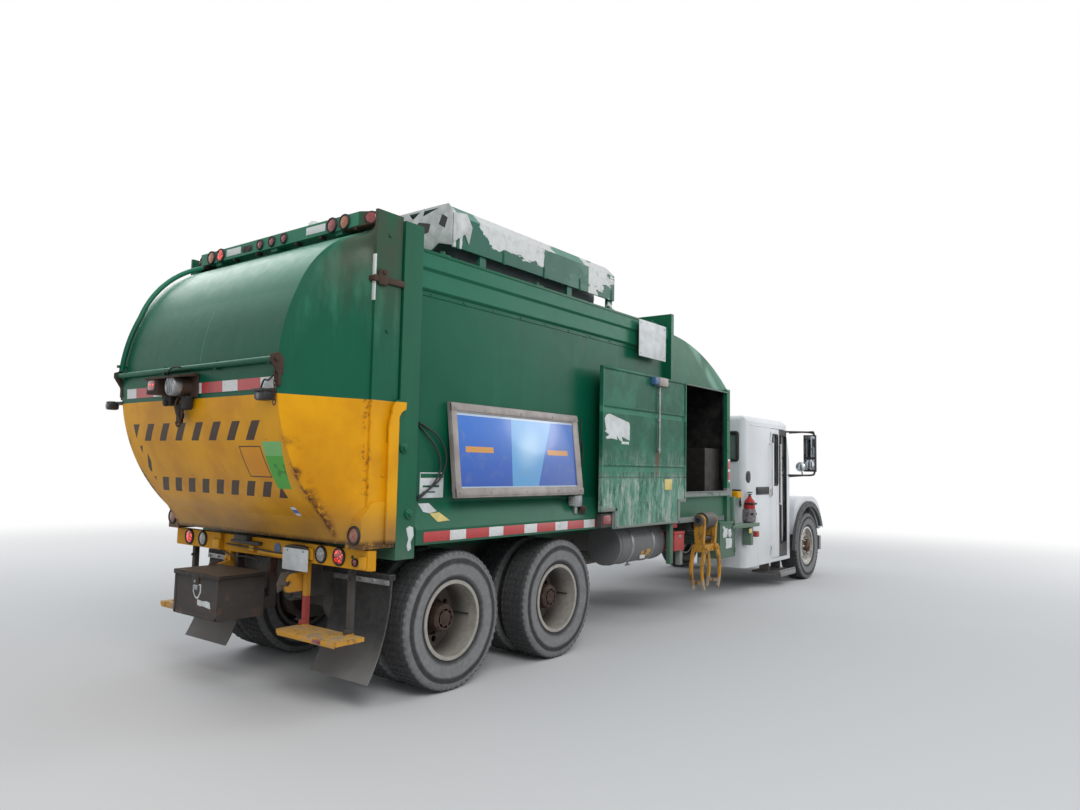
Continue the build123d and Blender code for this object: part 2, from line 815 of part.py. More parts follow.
def rear_lamps():
    "Lamp plates on the beam at each side."
    plate = slab((bumper_rear_x - lamp_plate, bumper_rear_x), (lamp_plate_inner_y, bumper_half),
                 (bumper_bottom_z + 5, bumper_top_z + 4))
    return both_sides(plate)


def lens(x, y, z, radius):
    "Round lamp with a domed face, standing back from the plate at x."
    rim = lens_depth / 2
    dome = lens_depth - rim
    curve = (radius ** 2 + dome ** 2) / (2 * dome)
    half_way = lens_depth - curve + math.sqrt(curve ** 2 - (radius / 2) ** 2)
    profile = [(0, 0), (radius, 0), (radius, rim, radius / 2, half_way), (0, lens_depth)]
    return Pos(x, y, z) * Rot(0, 0, 90) * spun(profile, (0, 0, 0))


# y, z and radius of each round lamp: on the beam's plates, on the light bar, on the lamp housings
beam_lamp_table = [(-745, 1048, 50), (-945, 1050, 52), (-1118, 1024, 22), (822, 1048, 50), (1032, 1050, 52)]
bar_lamp_table = [(-890, 52), (-746, 52), (-160, 34), (0, 34), (160, 34), (736, 52), (880, 52)]
housing_lamp_table = [(-1185, 1215, 50), (1185, 1215, 50)]


def tail_lamps():
    return [lens(bumper_rear_x - lamp_plate, y, z, radius) for y, z, radius in beam_lamp_table]


def gate_lamps():
    bar_z = (light_bar_bottom_z + light_bar_top_z) / 2
    lamps = [lens(light_bar_x, y, bar_z, radius * 0.9) for y, radius in bar_lamp_table]
    return lamps + [lens(lamp_box_x, y, z, radius) for y, z, radius in housing_lamp_table]


def work_lamp():
    "Housing on the back sheet with a square lamp beside a round one."
    x = tailgate_rear_x - 4
    plate = slab((x - 8, x), (-120, 380), (2140, 2300))
    rear = tailgate_rear_x - work_lamp_reach
    hood = side_plate([(x - 8, 2310), (x - 8, 2290), (rear, 2270), (rear, 2282)], (-110, 370))
    square = slab((rear + 10, x - 8), (200, 350), (2165, 2290))
    square = square - slab((rear + 9, rear + 20), (215, 335), (2180, 2265))
    bulge = rod((x - 8, 20, 2215), (rear + 15, 20, 2215), 66)
    back = tailgate_rear_x + 40
    foot = slab((x, back), (40, 220), (2190, 2250)) - tailgate_form(0)
    return joined(plate, hood, square, bulge, foot)


def toolbox():
    x0 = box_rear_x
    x1 = box_front_x
    y0 = box_right_y
    y1 = box_left_y
    box = slab((x0, x1), (y0, y1), (box_bottom_z, box_top_z - box_lid - seat_gap))
    box = box - slab((x0 + 12, x1 - 12), (y0 + 12, y1 - 12), (box_bottom_z + 12, box_top_z))
    for y in (y0 + 60, y1 - 100):
        box = box + slab((x1, rail_rear_x - seat_gap), (y, y + 40), (box_bottom_z + 40, box_bottom_z + 120))
        box = box + slab((rail_rear_x - 60, rail_rear_x - seat_gap), (y, y + 40),
                         (box_bottom_z + 120, bumper_bottom_z - seat_gap))
    for y in (y0 + 30, y1 - 80):
        box = box + lid_barrel((y, y + 50), (box_top_z - 2 * box_lid, box_top_z - box_lid / 2))
    return box


def lid_barrel(y, z):
    "A stretch of the lid's hinge with the leaf that carries it."
    x = box_front_x + lid_pin_offset
    pin_z = box_top_z - box_lid / 2
    return rod((x, y[0], pin_z), (x, y[1], pin_z), lid_pin_radius) + slab((box_front_x, x), y, z)


def toolbox_lid():
    lid = slab((box_rear_x - 8, box_front_x), (box_right_y - 8, box_left_y + 8),
               (box_top_z - box_lid, box_top_z))
    middle = (box_right_y + box_left_y) / 2
    pin_z = box_top_z - box_lid / 2
    return lid + lid_barrel((middle - 60, middle + 60), (pin_z - lid_pin_radius / 2, pin_z + lid_pin_radius / 2))


def mud_flaps():
    "Curved rubber flaps behind the rear wheels."
    x = rail_rear_x + 200
    flap = side_plate([(x, 880), (x + flap_plate, 880, x + flap_plate - 50, 520),
                       (x + flap_plate - 190, 200), (x - 190, 200, x - 50, 520)], (560, 1180))
    bar = slab((x - 15, x + 35), (rail_outer_y, 1180), (880, 920))
    return both_sides(joined(flap, bar))


# Arm
def arm_track():
    "Fixed sleeve across the frame that the boom slides in."
    w = sleeve_wall
    x0 = arm_rear_x
    x1 = arm_front_x
    outer = boom_outer_y + 50
    inner = boom_inner_y + 50
    sleeve = slab((x0 - w, x1 + w), (outer, inner), (boom_bottom_z - w, boom_top_z + w))
    hollow = slab((x0 - seat_gap, x1 + seat_gap), (outer - 1, inner + 1),
                  (boom_bottom_z - seat_gap, boom_top_z + seat_gap))
    feet = slab((x0 - w, x1 + w), (rail_outer_y - 80, rail_outer_y), (rail_top_z, boom_bottom_z - w))
    return joined(sleeve - hollow, feet, mirrored(feet))


def arm_boom():
    "Sliding boom with the turning head at its outer end."
    x0 = arm_rear_x
    x1 = arm_front_x
    boom = slab((x0, x1), (boom_outer_y - 60, boom_inner_y), (boom_bottom_z, boom_top_z))
    boom = boom - slab((x0 + 20, x1 - 20), (boom_outer_y + 40, boom_inner_y + 1),
                       (boom_bottom_z + 20, boom_top_z - 20))
    barrel = rod((x0 + 30, pivot_y, pivot_z), (x1 - 30, pivot_y, pivot_z), pivot_radius)
    web = slab((x0 + 60, x1 - 60), (pivot_y, boom_outer_y - 60), (boom_bottom_z + 10, boom_top_z))
    shaft = rod((x0 - 60, pivot_y, pivot_z), (x1 + 60, pivot_y, pivot_z), 30)
    return joined(boom, web, barrel, shaft)


def lift_arm():
    "Two swinging plates and the cross head that carries the fingers."
    x0 = arm_rear_x
    x1 = arm_front_x
    parts = []
    for xa, xb in ((x0 - 30, x0 + 20), (x1 - 20, x1 + 30)):
        plate = cross_plate([(pivot_y - 50, head_z - 60), (pivot_y + 50, head_z - 60), (pivot_y + 70, pivot_z,
                              pivot_y, pivot_z + 70), (pivot_y - 70, pivot_z)], (xa, xb))
        plate = plate - rod((xa - 1, pivot_y, pivot_z), (xb + 1, pivot_y, pivot_z), 30 + shaft_gap)
        parts.append(plate)
    head = slab((x0 - 60, x1 + 60), (pivot_y - 50, pivot_y + 50), (head_z - 110, head_z - 30))
    for x in (x0, x1):
        head = head + rod((x, pivot_y - 100, head_z - 70), (x, pivot_y + 100, head_z - 70),
                          finger_pin_radius)
    return joined(*parts, head)


def finger(x, turn):
    "Curved gripper finger on its pin; turn is -1 for the rear one and 1 for the front one."
    z = head_z - 70
    shape = [(-45, 0, 0, 45), (45, 0, 112, -235), (45, -finger_reach), (10, -finger_reach, 60, -260)]
    outline = [tuple(value * turn + x if place % 2 == 0 else value + z for place, value in enumerate(row))
               for row in shape]
    pair = []
    for y in (pivot_y - 80, pivot_y + 56):
        plate = side_plate(outline, (y, y + 24))
        pair.append(plate - rod((x, y - 1, z), (x, y + 25, z), finger_pin_radius + shaft_gap))
    tip = slab((x + turn * 55 - 15, x + turn * 55 + 15), (pivot_y - 56, pivot_y + 56),
               (z - finger_reach + 60, z - finger_reach + 100))
    return joined(*pair, tip)


def valve_box():
    outer = -(body_half_width + 70)
    inner = outer + 300
    box = slab((4030, 4490), (outer, inner), (600, 1050))
    return box + slab((4150, 4350), (inner, -rail_outer_y), (760, 900))


# Cab
window_edge = cab_half_width - corner_window_inset
corner_windows = [(-window_edge, -window_edge + corner_window_width), (window_edge - corner_window_width, window_edge)]


def cab_outline(inset):
    return [(cab_rear_x + inset, cab_floor_z), (cab_cowl_x - inset, cab_floor_z),
            (cab_cowl_x - inset, cab_cowl_z), (cab_header_x - inset, cab_eave_z),
            (cab_rear_x + inset, cab_eave_z)]


def cab_plan(z):
    "Plan of the cab with its rounded corners, as a solid to trim with."
    x0 = cab_rear_x
    x1 = cab_cowl_x
    y = cab_half_width
    r = cab_corner
    return flat_plate([(x0, -y + r, x0 + r * 0.3, -y + r * 0.3), (x0 + r, -y), (x1 - r, -y, x1 - r * 0.3, -y + r * 0.3),
                       (x1, -y + r), (x1, y - r, x1 - r * 0.3, y - r * 0.3), (x1 - r, y),
                       (x0 + r, y, x0 + r * 0.3, y - r * 0.3), (x0, y - r)], z)


def cab_walls():
    "Cab sides, back and front in one shell, with door and window openings cut."
    y1 = cab_half_width
    y0 = y1 - cab_wall
    shell = side_plate(cab_outline(0), (-y1, y1)) & cab_plan((cab_floor_z, cab_eave_z))
    shell = shell - slab((cab_rear_x - 1, cab_cowl_x + 1), (-y0, y0), (cab_floor_z - 1, cab_floor_z + 40))
    hollow = side_plate([(x, z + (1 if z > 2300 else -1 if z < 1000 else 0))
                         for x, z in cab_outline(cab_wall)], (-y0, y0))
    shell = shell - hollow
    lower = slab((cab_rear_x, cab_cowl_x), (-y1, -y0), (door_bottom_z - 60, cab_floor_z))
    back = slab((cab_rear_x, cab_rear_x + cab_wall), (-y0, well_inner_y), (door_bottom_z - 60, cab_floor_z + 40))
    fore = slab((cab_cowl_x - cab_wall, cab_cowl_x), (-y0, well_inner_y),
                (door_bottom_z - 60, cab_floor_z + 40))
    skirt = joined(lower, back, fore) & cab_plan((door_bottom_z - 60, cab_floor_z + 40))
    shell = shell + skirt
    g = moving_gap
    shell = shell - slab((right_door_rear_x - g, right_door_front_x + g), (-y1 - 1, -y0 + 1),
                         (door_bottom_z - g, door_top_z + g))
    shell = shell - slab((left_door_rear_x - g, right_door_front_x + g), (y0 - 1, y1 + 1),
                         (left_door_bottom_z - g, door_top_z + g))
    shell = shell - slab((cab_header_x - 100, cab_cowl_x + 10), (-screen_half, screen_half), (1690, 2290))
    for y in corner_windows:
        shell = shell - slab((cab_rear_x - 1, cab_rear_x + cab_wall + 1), y, (1830, 2230))
    return shell


def cab_floor():
    "Floor over the frame with the low well on the right and its step."
    y0 = cab_half_width - cab_wall
    z0 = cab_floor_z
    z1 = z0 + cab_floor_plate
    x0 = cab_rear_x + cab_wall
    floor = slab((cab_rear_x, cab_cowl_x), (well_inner_y, y0), (z0, z1))
    floor = floor - slab((cab_rear_x - 1, cab_cowl_x + 1), (-260, 260), (z0 - 1, z0))
    well = slab((x0, cab_cowl_x - cab_wall), (-y0, well_inner_y), (well_floor_z - 40, well_floor_z))
    wall = slab((x0, cab_cowl_x - cab_wall), (well_inner_y - 20, well_inner_y), (well_floor_z, z1))
    outer = -(cab_half_width + 50)
    step = slab((6260, 6900), (outer, outer + 440), (180, 215))
    for x in (6300, 6760):
        step = step + slab((x, x + 40), (outer + 200, outer + 340), (215, well_floor_z - 40))
    return joined(floor, well, wall, step)


def cab_roof():
    "Crowned roof with rounded edges, pressed from one sheet."
    y1 = cab_half_width
    x0 = cab_rear_x
    x1 = cab_header_x
    z0 = cab_eave_z
    z1 = cab_roof_z
    middle = (x0 + x1) / 2
    along = side_plate([(x0, z0), (x0, z0 + 30, x0 + 20, z0 + 75), (x0 + 90, z1 - 35, middle, z1),
                        (x1 - 90, z1 - 35, x1 - 10, z0 + 70), (x1 + 30, z0 + 25), (x1, z0)], (-y1, y1))
    across = cross_plate([(-y1, z0), (y1, z0), (y1, z0 + 20, y1 - 22, z1 - 65), (y1 - 110, z1 - 30, 0, z1),
                          (-y1 + 110, z1 - 30, -y1 + 22, z1 - 65), (-y1, z0 + 20)], (x0, x1 + 40))
    w = cab_wall
    hollow = side_plate([(x0 + w, z0 - 1), (x0 + w, z0 + 10), (x0 + 150, z1 - 60), (x1 - 180, z1 - 60),
                         (x1 - w, z0 + 10), (x1 - w, z0 - 1)], (-y1 + w + 60, y1 - w - 60))
    return (along & across & cab_plan((z0, z1 + 1))) - hollow


def cab_glass():
    "Windscreen and the two rear corner windows, set in their openings."
    slope = (cab_cowl_x - cab_header_x) / (cab_eave_z - cab_cowl_z)

    def front_x(z):
        return cab_cowl_x - (z - cab_cowl_z) * slope
    g = seat_gap
    screen = side_plate([(front_x(1690) - 30, 1690 + g), (front_x(1690) - 22, 1690 + g),
                         (front_x(2290) - 22, 2290 - g), (front_x(2290) - 30, 2290 - g)],
                        (-screen_half + g, screen_half - g))
    panes = [screen]
    for y in corner_windows:
        panes.append(slab((cab_rear_x + 18, cab_rear_x + 26), (y[0] + g, y[1] - g),
                          (1830 + g, 2230 - g)))
    return panes


def cab_interior():
    "Dashboard, two seats and the steering wheel."
    z1 = cab_floor_z + cab_floor_plate
    y0 = cab_half_width - cab_wall
    x1 = cab_cowl_x - cab_wall
    dash = side_plate([(x1 - 265, 1290), (x1 - 265, 1480), (x1 - 185, 1540), (x1, 1540), (x1, z1),
                       (x1 - 60, z1)], (well_inner_y + 20, y0))
    dash = dash + slab((x1 - 125, x1), (-y0, well_inner_y + 20), (1290, 1540))
    seats = []
    for y, z in ((620, z1), (-160, z1)):
        seat = slab((5560, 6020), (y - 240, y + 240), (z + 320, z + 450))
        seat = seat + side_plate([(5440, z + 330), (5560, z + 330), (5560, z + 450), (5500, z + 1100),
                                  (5400, z + 1100)], (y - 230, y + 230))
        seat = seat + slab((5600, 5960), (y - 160, y + 160), (z, z + 320))
        seats.append(seat)
    hub = (x1 - 385, 620, 1560)
    wheel = Pos(*hub) * Rot(0, -55, 0) * (Cylinder(228, 24) - Cylinder(204, 25))
    column = rod(hub, (x1 - 200, 620, 1440), 26)
    spoke = Pos(*hub) * Rot(0, -55, 0) * Box(30, 420, 12)
    return [joined(dash, wheel, column, spoke)] + seats


def mirrors():
    "Tall mirror heads on C-shaped arms."
    x0 = cab_cowl_x - 80
    y0 = cab_half_width
    y1 = mirror_outer_y - 30
    head = slab((7090, 7130), (mirror_outer_y - 190, mirror_outer_y), (1700, 2270))
    r = 11
    arm = joined(rod((cab_cowl_x - 80, y0, 2290), (7060, y1, 2320), r),
                 rod((7060, y1, 2320), (7110, y1, 2300), r), rod((7110, y1, 2310), (7110, y1, 1660), r),
                 rod((7110, y1, 1660), (7060, y1, 1650), r),
                 rod((7060, y1, 1650), (x0, y0, 1620), r))
    arm = arm - slab((5000, 7000), (0, y0), (1000, 2500))
    return both_sides(joined(head, arm))


def door_leaf(x, z, y_outer, glass):
    "Flat door panel with a window cut in it; glass is the window's x and z range."
    side = 1 if y_outer > 0 else -1
    inner = y_outer - side * door_thickness
    panel = slab(x, (y_outer, inner), z)
    window = slab(glass[0], (y_outer + side, inner - side), glass[1])
    return panel - window


def hinge_parts(x, y, facing, reach, levels):
    """Stacked hinge barrels on a standing pin: the lower one stays, the upper one moves.
    facing is the side of the pin that the fixed plate lies on, and reach is the plates' offset."""
    fixed = []
    moving = []
    for z in levels:
        for part, low, side in ((fixed, z - 60, facing), (moving, z + seat_gap, -facing)):
            barrel = rod((x, y, low), (x, y, low + 60), hinge_radius)
            plate = slab((x, x + side * 34), (y - reach, y + reach / 4), (low, low + 60))
            part.append(barrel + plate)
    return fixed, moving


def glass_pane(y_outer, glass):
    side = 1 if y_outer > 0 else -1
    y = (y_outer - side * 14, y_outer - side * 20)
    g = seat_gap
    return slab((glass[0][0] + g, glass[0][1] - g), y, (glass[1][0] + g, glass[1][1] - g))


# Hood
def hood_section(x, half, z0, z1):
    "Cut across the hood, with round shoulders and a crowned top."
    c = hood_shoulder
    return outlined([(-half, z0), (half, z0), (half, z1 - c, half - c * 0.3, z1 - c * 0.3 - 12),
                     (half - c, z1 - 18, 0, z1), (-half + c, z1 - 18, -half + c * 0.3, z1 - c * 0.3 - 12),
                     (-half, z1 - c)], lambda y, z: (x, y, z))


def hood():
    "Tilting hood with its nose panel and the two fenders."
    t = hood_wall
    outer = loft([hood_section(hood_rear_x, hood_rear_half, 1100, hood_cowl_z),
                  hood_section(hood_front_x, hood_front_half, 1100, hood_nose_z)], ruled=True)
    inner = loft([hood_section(hood_rear_x - 1, hood_rear_half - t, 1099, hood_cowl_z - t),
                  hood_section(hood_front_x - t, hood_front_half - t, 1099, hood_nose_z - t)],
                 ruled=True)
    shell = outer - inner
    nose = slab((hood_front_x - t, hood_front_x), (-hood_front_half, hood_front_half),
                (hood_bottom_z, 1100))
    shell = shell + nose
    shell = shell - slab((hood_front_x - 100, hood_front_x + 1), (-430, 430), (870, 1240))
    y1 = fender_outer_y
    top = fender_top_z
    outline = [(fender_rear_x, 500), (fender_rear_x, top - 160, fender_rear_x + 60, top - 40),
               (fender_rear_x + 220, top), (7720, top, 8070, top - 160), (8230, hood_bottom_z)]
    inside = [(fender_rear_x + t, 499), (fender_rear_x + t, top - 160, fender_rear_x + 76, top - 56),
              (fender_rear_x + 220, top - t), (7720, top - t, 8054, top - 176),
              (8206, hood_bottom_z - 1)]
    for side in (-1, 1):
        wide = (side * 600, side * y1)
        skin = side_plate(outline, wide) - side_plate(inside, (side * 599, side * (y1 - t)))
        arch = rod((front_axle_x, side * 500, tyre_radius), (front_axle_x, side * 1300, tyre_radius),
                   arch_radius)
        skin = skin - arch
        clear = loft([hood_section(hood_rear_x - 200, hood_rear_half - t, 400, hood_cowl_z + 30),
                      hood_section(hood_front_x + 60, hood_front_half - t, 400, hood_nose_z)],
                     ruled=True)
        shell = shell + (skin - clear)
    for y in (-500, 500):
        leg = side_plate([(hood_front_x - t, hood_bottom_z + 40), (hood_front_x - t, hood_bottom_z),
                          (hood_pin_x + 34, hood_pin_z - 34), (hood_pin_x - 34, hood_pin_z - 34),
                          (hood_pin_x - 34, hood_pin_z + 34)], (y - 14, y + 14))
        leg = leg - rod((hood_pin_x, y - 20, hood_pin_z), (hood_pin_x, y + 20, hood_pin_z),
                        20 + shaft_gap)
        shell = shell + leg
    for side in (-1, 1):
        shell = shell - slab((8060, 8300), (side * 700, side * 1020), (900, 1120))
    return shell


def fender_flares():
    "Black arch trims round the front wheels."
    x = front_axle_x
    z = tyre_radius
    flares = []
    for side in (-1, 1):
        y0 = side * fender_outer_y
        y1 = side * flare_outer_y
        ring = rod((x, y0, z), (x, y1, z), arch_radius + flare_width)
        ring = ring - rod((x, y0 - side, z), (x, y1 + side, z), arch_radius - 5)
        ring = ring - slab((x - 900, x + 900), (y0 - side, y1 + side), (-300, 500))
        ring = ring - slab((x, x + 900), (y0 - side, y1 + side), (400, hood_bottom_z + 10))
        flares.append(ring)
    return flares


def grille():
    g = seat_gap
    x0 = hood_front_x - hood_wall
    bars = []
    frame = slab((x0, hood_front_x + 12), (-430 + g, 430 - g), (870 + g, 1240 - g))
    frame = frame - slab((x0 - 1, hood_front_x + 13), (-400, 400), (900, 1210))
    for number in range(5):
        z = 940 + number * 54
        bars.append(slab((x0, hood_front_x + 6), (-400, 400), (z, z + 18)))
    return joined(frame, *bars)


def headlamps():
    g = seat_gap
    lamp = side_plate([(8090, 900 + g), (8215, 900 + g), (8200, 1000), (8110, 1120 - g), (8090, 1120 - g)],
                      (700 + g, 1020 - g))
    return both_sides(lamp)


def front_bumper():
    "Steel front bumper on the frame ends, with the hood's pivot lugs and tow plates."
    x1 = bumper_front_x
    half = bumper_half_width
    outline = [(8230, -half + 120), (8120, -half), (8200, -half, x1 - 40, -half + 70), (x1, -half + 260),
               (x1, half - 260, x1 - 40, half - 70), (8200, half), (8120, half), (8230, half - 120)]
    bumper = flat_plate(outline, (front_bumper_bottom_z, front_bumper_top_z))
    for side in (-1, 1):
        y0 = side * (rail_outer_y - 80)
        bumper = bumper + slab((rail_front_x, 8240), (y0, side * rail_outer_y), (600, 940 - 180))
        hook = side_plate([(8240, 430), (8320, 430), (8320, 370, 8265, 325), (8210, 370),
                           (8210, 430)], (side * 385, side * 415))
        hook = hook - rod((8265, side * 370, 380), (8265, side * 430, 380), tow_hole_radius)
        bumper = bumper + hook
        pin = rod((hood_pin_x, side * 430, hood_pin_z), (hood_pin_x, side * 530, hood_pin_z), 20)
        bumper = bumper + pin
    return bumper


# Doors
right_glass = ((6070, 6300), (1480, 2250))
front_leaf_glass = ((6390, 6640), (620, 2250))
left_glass = ((5790, 6590), (1560, 2240))
leaf_middle_x = (right_door_rear_x + right_door_front_x) / 2
leaf_gap = 5


left_hinges = hinge_parts(right_door_front_x + 3, cab_half_width + hinge_offset, 1, hinge_offset,
                          (1120, 2200))
rear_leaf_hinges = hinge_parts(right_door_rear_x - 3, -cab_half_width - hinge_offset, -1,
                               -hinge_offset, (560, 1380, 2200))
fold_y = -cab_half_width + door_thickness + hinge_offset
fold_hinges = hinge_parts(leaf_middle_x, fold_y, -1, hinge_offset, (540, 1360, 2280 - 60))


def door_left():
    x = (left_door_rear_x, right_door_front_x)
    door = door_leaf(x, (left_door_bottom_z, door_top_z), cab_half_width, left_glass)
    return joined(door, *left_hinges[1])


def leaf_rear():
    "Rear half of the folding door, hinged on the door frame."
    x = (right_door_rear_x, leaf_middle_x - leaf_gap / 2)
    leaf = door_leaf(x, (door_bottom_z, door_top_z), -cab_half_width, right_glass)
    return joined(leaf, *rear_leaf_hinges[1], *fold_hinges[0])


def leaf_front():
    "Front half of the folding door, hinged on the rear half."
    x = (leaf_middle_x + leaf_gap / 2, right_door_front_x - fold_edge)
    leaf = door_leaf(x, (door_bottom_z, door_top_z), -cab_half_width, front_leaf_glass)
    return joined(leaf, *fold_hinges[1])


def wheel_nodes():
    "Tyres and rims of every wheel set."
    made = {}
    half = tandem_spacing / 2
    for place, x in (("rear", -half), ("middle", half)):
        outer = tyre(rear_tyre_width, (x, dual_middle_y + dual_half_spacing, tyre_radius))
        inner = tyre(rear_tyre_width, (x, dual_middle_y - dual_half_spacing, tyre_radius))
        rims = rear_rims((x, dual_middle_y, tyre_radius))
        made[place + "_tyres_left"] = [outer, inner]
        made[place + "_tyres_right"] = [mirrored(outer), mirrored(inner)]
        made[place + "_rims_left"] = [rims]
        made[place + "_rims_right"] = [mirrored(rims)]
    centre = (front_axle_x, front_wheel_y, tyre_radius)
    front = tyre(front_tyre_width, centre)
    rim = front_rim(centre)
    made["front_tyre_left"] = [front]
    made["front_tyre_right"] = [mirrored(front)]
    made["front_rim_left"] = [rim]
    made["front_rim_right"] = [mirrored(rim)]
    return made


nodes = {
    "frame_rails": [frame_rails()],
    "axles": [rear_axle(-tandem_spacing / 2), rear_axle(tandem_spacing / 2), front_axle()],
    "suspension": suspension(),
    "drivetrain": drivetrain(),
    "knuckle_left": [knuckle_left()],
    "knuckle_right": [mirrored(knuckle_left())],
    "side_tanks": side_tanks(),
    "body_shell": body_sides() + [body_floor(), body_roof()] + side_ledges(),
    "rear_frame": [rear_frame()],
    "hopper_shell": [hopper_shell(), hopper_hood()],
    "packer_ram": [packer_ram()],
    "guard_panel": [guard_panel()],
    "side_sign": [side_sign()],
    "roof_tanks": roof_tanks(),
    "tank_cover": [tank_cover()],
    "tailgate_shell": [tailgate_shell(), light_bar()],
    "tailgate_rod": [tailgate_rod(), seam_pipe()],
    "gate_lamps": gate_lamps(),
    "work_lamp": [work_lamp()],
    "rear_bumper": [rear_bumper()] + rear_lamps(),
    "tail_lamps": tail_lamps(),
    "toolbox": [toolbox()],
    "toolbox_lid": [toolbox_lid()],
    "mud_flaps": mud_flaps(),
    "arm_track": [arm_track()],
    "arm_boom": [arm_boom()],
    "lift_arm": [lift_arm()],
    "finger_rear": [finger(arm_rear_x, -1)],
    "finger_front": [finger(arm_front_x, 1)],
    "valve_box": [valve_box()],
    "cab_shell": [joined(cab_walls(), *left_hinges[0], *rear_leaf_hinges[0]), cab_roof()],
    "cab_floor": [cab_floor()],
    "cab_glass": cab_glass(),
    "cab_interior": cab_interior(),
    "mirrors": mirrors(),
    "door_left": [door_left()],
    "door_left_glass": [glass_pane(cab_half_width, left_glass)],
    "leaf_rear": [leaf_rear()],
    "leaf_rear_glass": [glass_pane(-cab_half_width, right_glass)],
    "leaf_front": [leaf_front()],
    "leaf_front_glass": [glass_pane(-cab_half_width, front_leaf_glass)],
    "hood": [hood()],
    "fender_flares": fender_flares(),
    "grille": [grille()],
    "headlamps": headlamps(),
    "front_bumper": [front_bumper()],
}
nodes.update(wheel_nodes())

os.makedirs("parts", exist_ok=True)
for name, pieces in nodes.items():
    solids = []
    for piece in pieces:
        solids.extend(piece.solids())
    whole = Compound(children=solids)
    export_step(Pos(row_shift_x, 0, 0) * whole, "parts/" + name + ".step")
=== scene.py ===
"""Looks of a side-loading garbage truck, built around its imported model.

Pieces are made in metres, with X forward from the middle of the rear axle pair, Y to the left
and Z up from the ground, and are moved by ROW_SHIFT along X when they are finished.
"""
import math

import bmesh
import bpy
from mathutils import Matrix, Vector


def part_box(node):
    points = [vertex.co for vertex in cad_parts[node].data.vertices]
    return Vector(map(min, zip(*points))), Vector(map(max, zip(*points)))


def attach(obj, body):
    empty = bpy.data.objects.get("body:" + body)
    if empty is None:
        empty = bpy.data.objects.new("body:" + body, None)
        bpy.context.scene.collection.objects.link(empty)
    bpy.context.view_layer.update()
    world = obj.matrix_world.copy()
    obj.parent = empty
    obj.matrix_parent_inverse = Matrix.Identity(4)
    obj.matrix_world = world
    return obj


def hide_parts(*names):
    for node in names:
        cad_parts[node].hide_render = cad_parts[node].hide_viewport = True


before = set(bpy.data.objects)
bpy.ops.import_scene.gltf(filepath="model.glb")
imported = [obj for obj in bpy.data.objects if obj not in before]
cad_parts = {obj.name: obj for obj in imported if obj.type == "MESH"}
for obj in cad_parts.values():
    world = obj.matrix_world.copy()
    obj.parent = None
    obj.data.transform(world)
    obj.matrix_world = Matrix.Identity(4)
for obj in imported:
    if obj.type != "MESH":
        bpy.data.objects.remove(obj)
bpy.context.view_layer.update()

ROW_SHIFT = -3.0

# Main sizes, in metres
TYRE_RADIUS = 0.525
DUAL_Y = 0.91
DUAL_HALF = 0.17
REAR_TYRE = 0.28
FRONT_TYRE = 0.3
FRONT_AXLE_X = 7.49
FRONT_WHEEL_Y = 1.06
AXLE_XS = {"rear": -0.68, "middle": 0.68}
STUD_CIRCLE = 0.142
SPLIT_Z = 2.135
SHEET_X, SHEET_Z, SHEET_RADIUS = -2.2, 2.28, 1.31
LEDGE_Y = 1.262
GUARD_Y = -1.345
CAB_Y = 1.15
LAMP_PLATE_X, BAR_X, HOUSING_X = -1.575, -1.6, -1.65
BUMPER_FACE_X = 8.35
COWL_X, COWL_Z, SCREEN_SLOPE = 6.87, 1.6, 0.3026
OIL_TANK = ((3.0, 4.25), (0.62, 1.12), (0.5, 0.94))

# Colours, as linear light
GREEN = (0.002, 0.098, 0.05)
# Pale green for chalked paint; also a painted highlight on the tailgate and painted sky light on up-facing
# faces.
GREEN_CHALK_AND_HIGHLIGHT = (0.055, 0.27, 0.165)
GREEN_DARK = (0.003, 0.04, 0.022)
YELLOW = (0.76, 0.35, 0.003)
RUST = (0.11, 0.035, 0.012)
RUST_DARK = (0.035, 0.016, 0.01)
WHITE = (0.74, 0.76, 0.78)
DUST = (0.3, 0.28, 0.25)
BLACK = (0.018, 0.018, 0.02)
RED_TAPE = (0.46, 0.012, 0.016)
WHITE_TAPE = (0.68, 0.69, 0.68)
UNLIT = (0, 0, 0)


def darker(tint, share):
    return tuple(value * share for value in tint)


# Shader maths
class Value:
    """A number in a finish, so that masks are written as sums and products."""

    def __init__(self, finish, socket):
        self.finish = finish
        self.socket = socket

    def __add__(self, other):
        return self.finish.maths("ADD", self, other)

    def __sub__(self, other):
        return self.finish.maths("SUBTRACT", self, other)

    def __rsub__(self, other):
        return self.finish.maths("SUBTRACT", other, self)

    def __mul__(self, other):
        return self.finish.maths("MULTIPLY", self, other)

    def __truediv__(self, other):
        return self.finish.maths("DIVIDE", self, other)

    def __abs__(self):
        return self.finish.maths("ABSOLUTE", self)

    __radd__, __rmul__ = __add__, __mul__

    def over(self, edge):
        return self.finish.maths("GREATER_THAN", self, edge)

    def under(self, edge):
        return self.finish.maths("LESS_THAN", self, edge)

    def fraction(self):
        return self.finish.maths("FRACT", self)

    def largest(self, other):
        return self.finish.maths("MAXIMUM", self, other)

    def smallest(self, other):
        return self.finish.maths("MINIMUM", self, other)

    def ease(self, low, high):
        "0 below low, 1 above high, and smooth between."
        node = self.finish.node("ShaderNodeMapRange", {"interpolation_type": "SMOOTHSTEP"},
                                {"Value": self, "From Min": low, "From Max": high})
        return Value(self.finish, node.outputs["Result"])


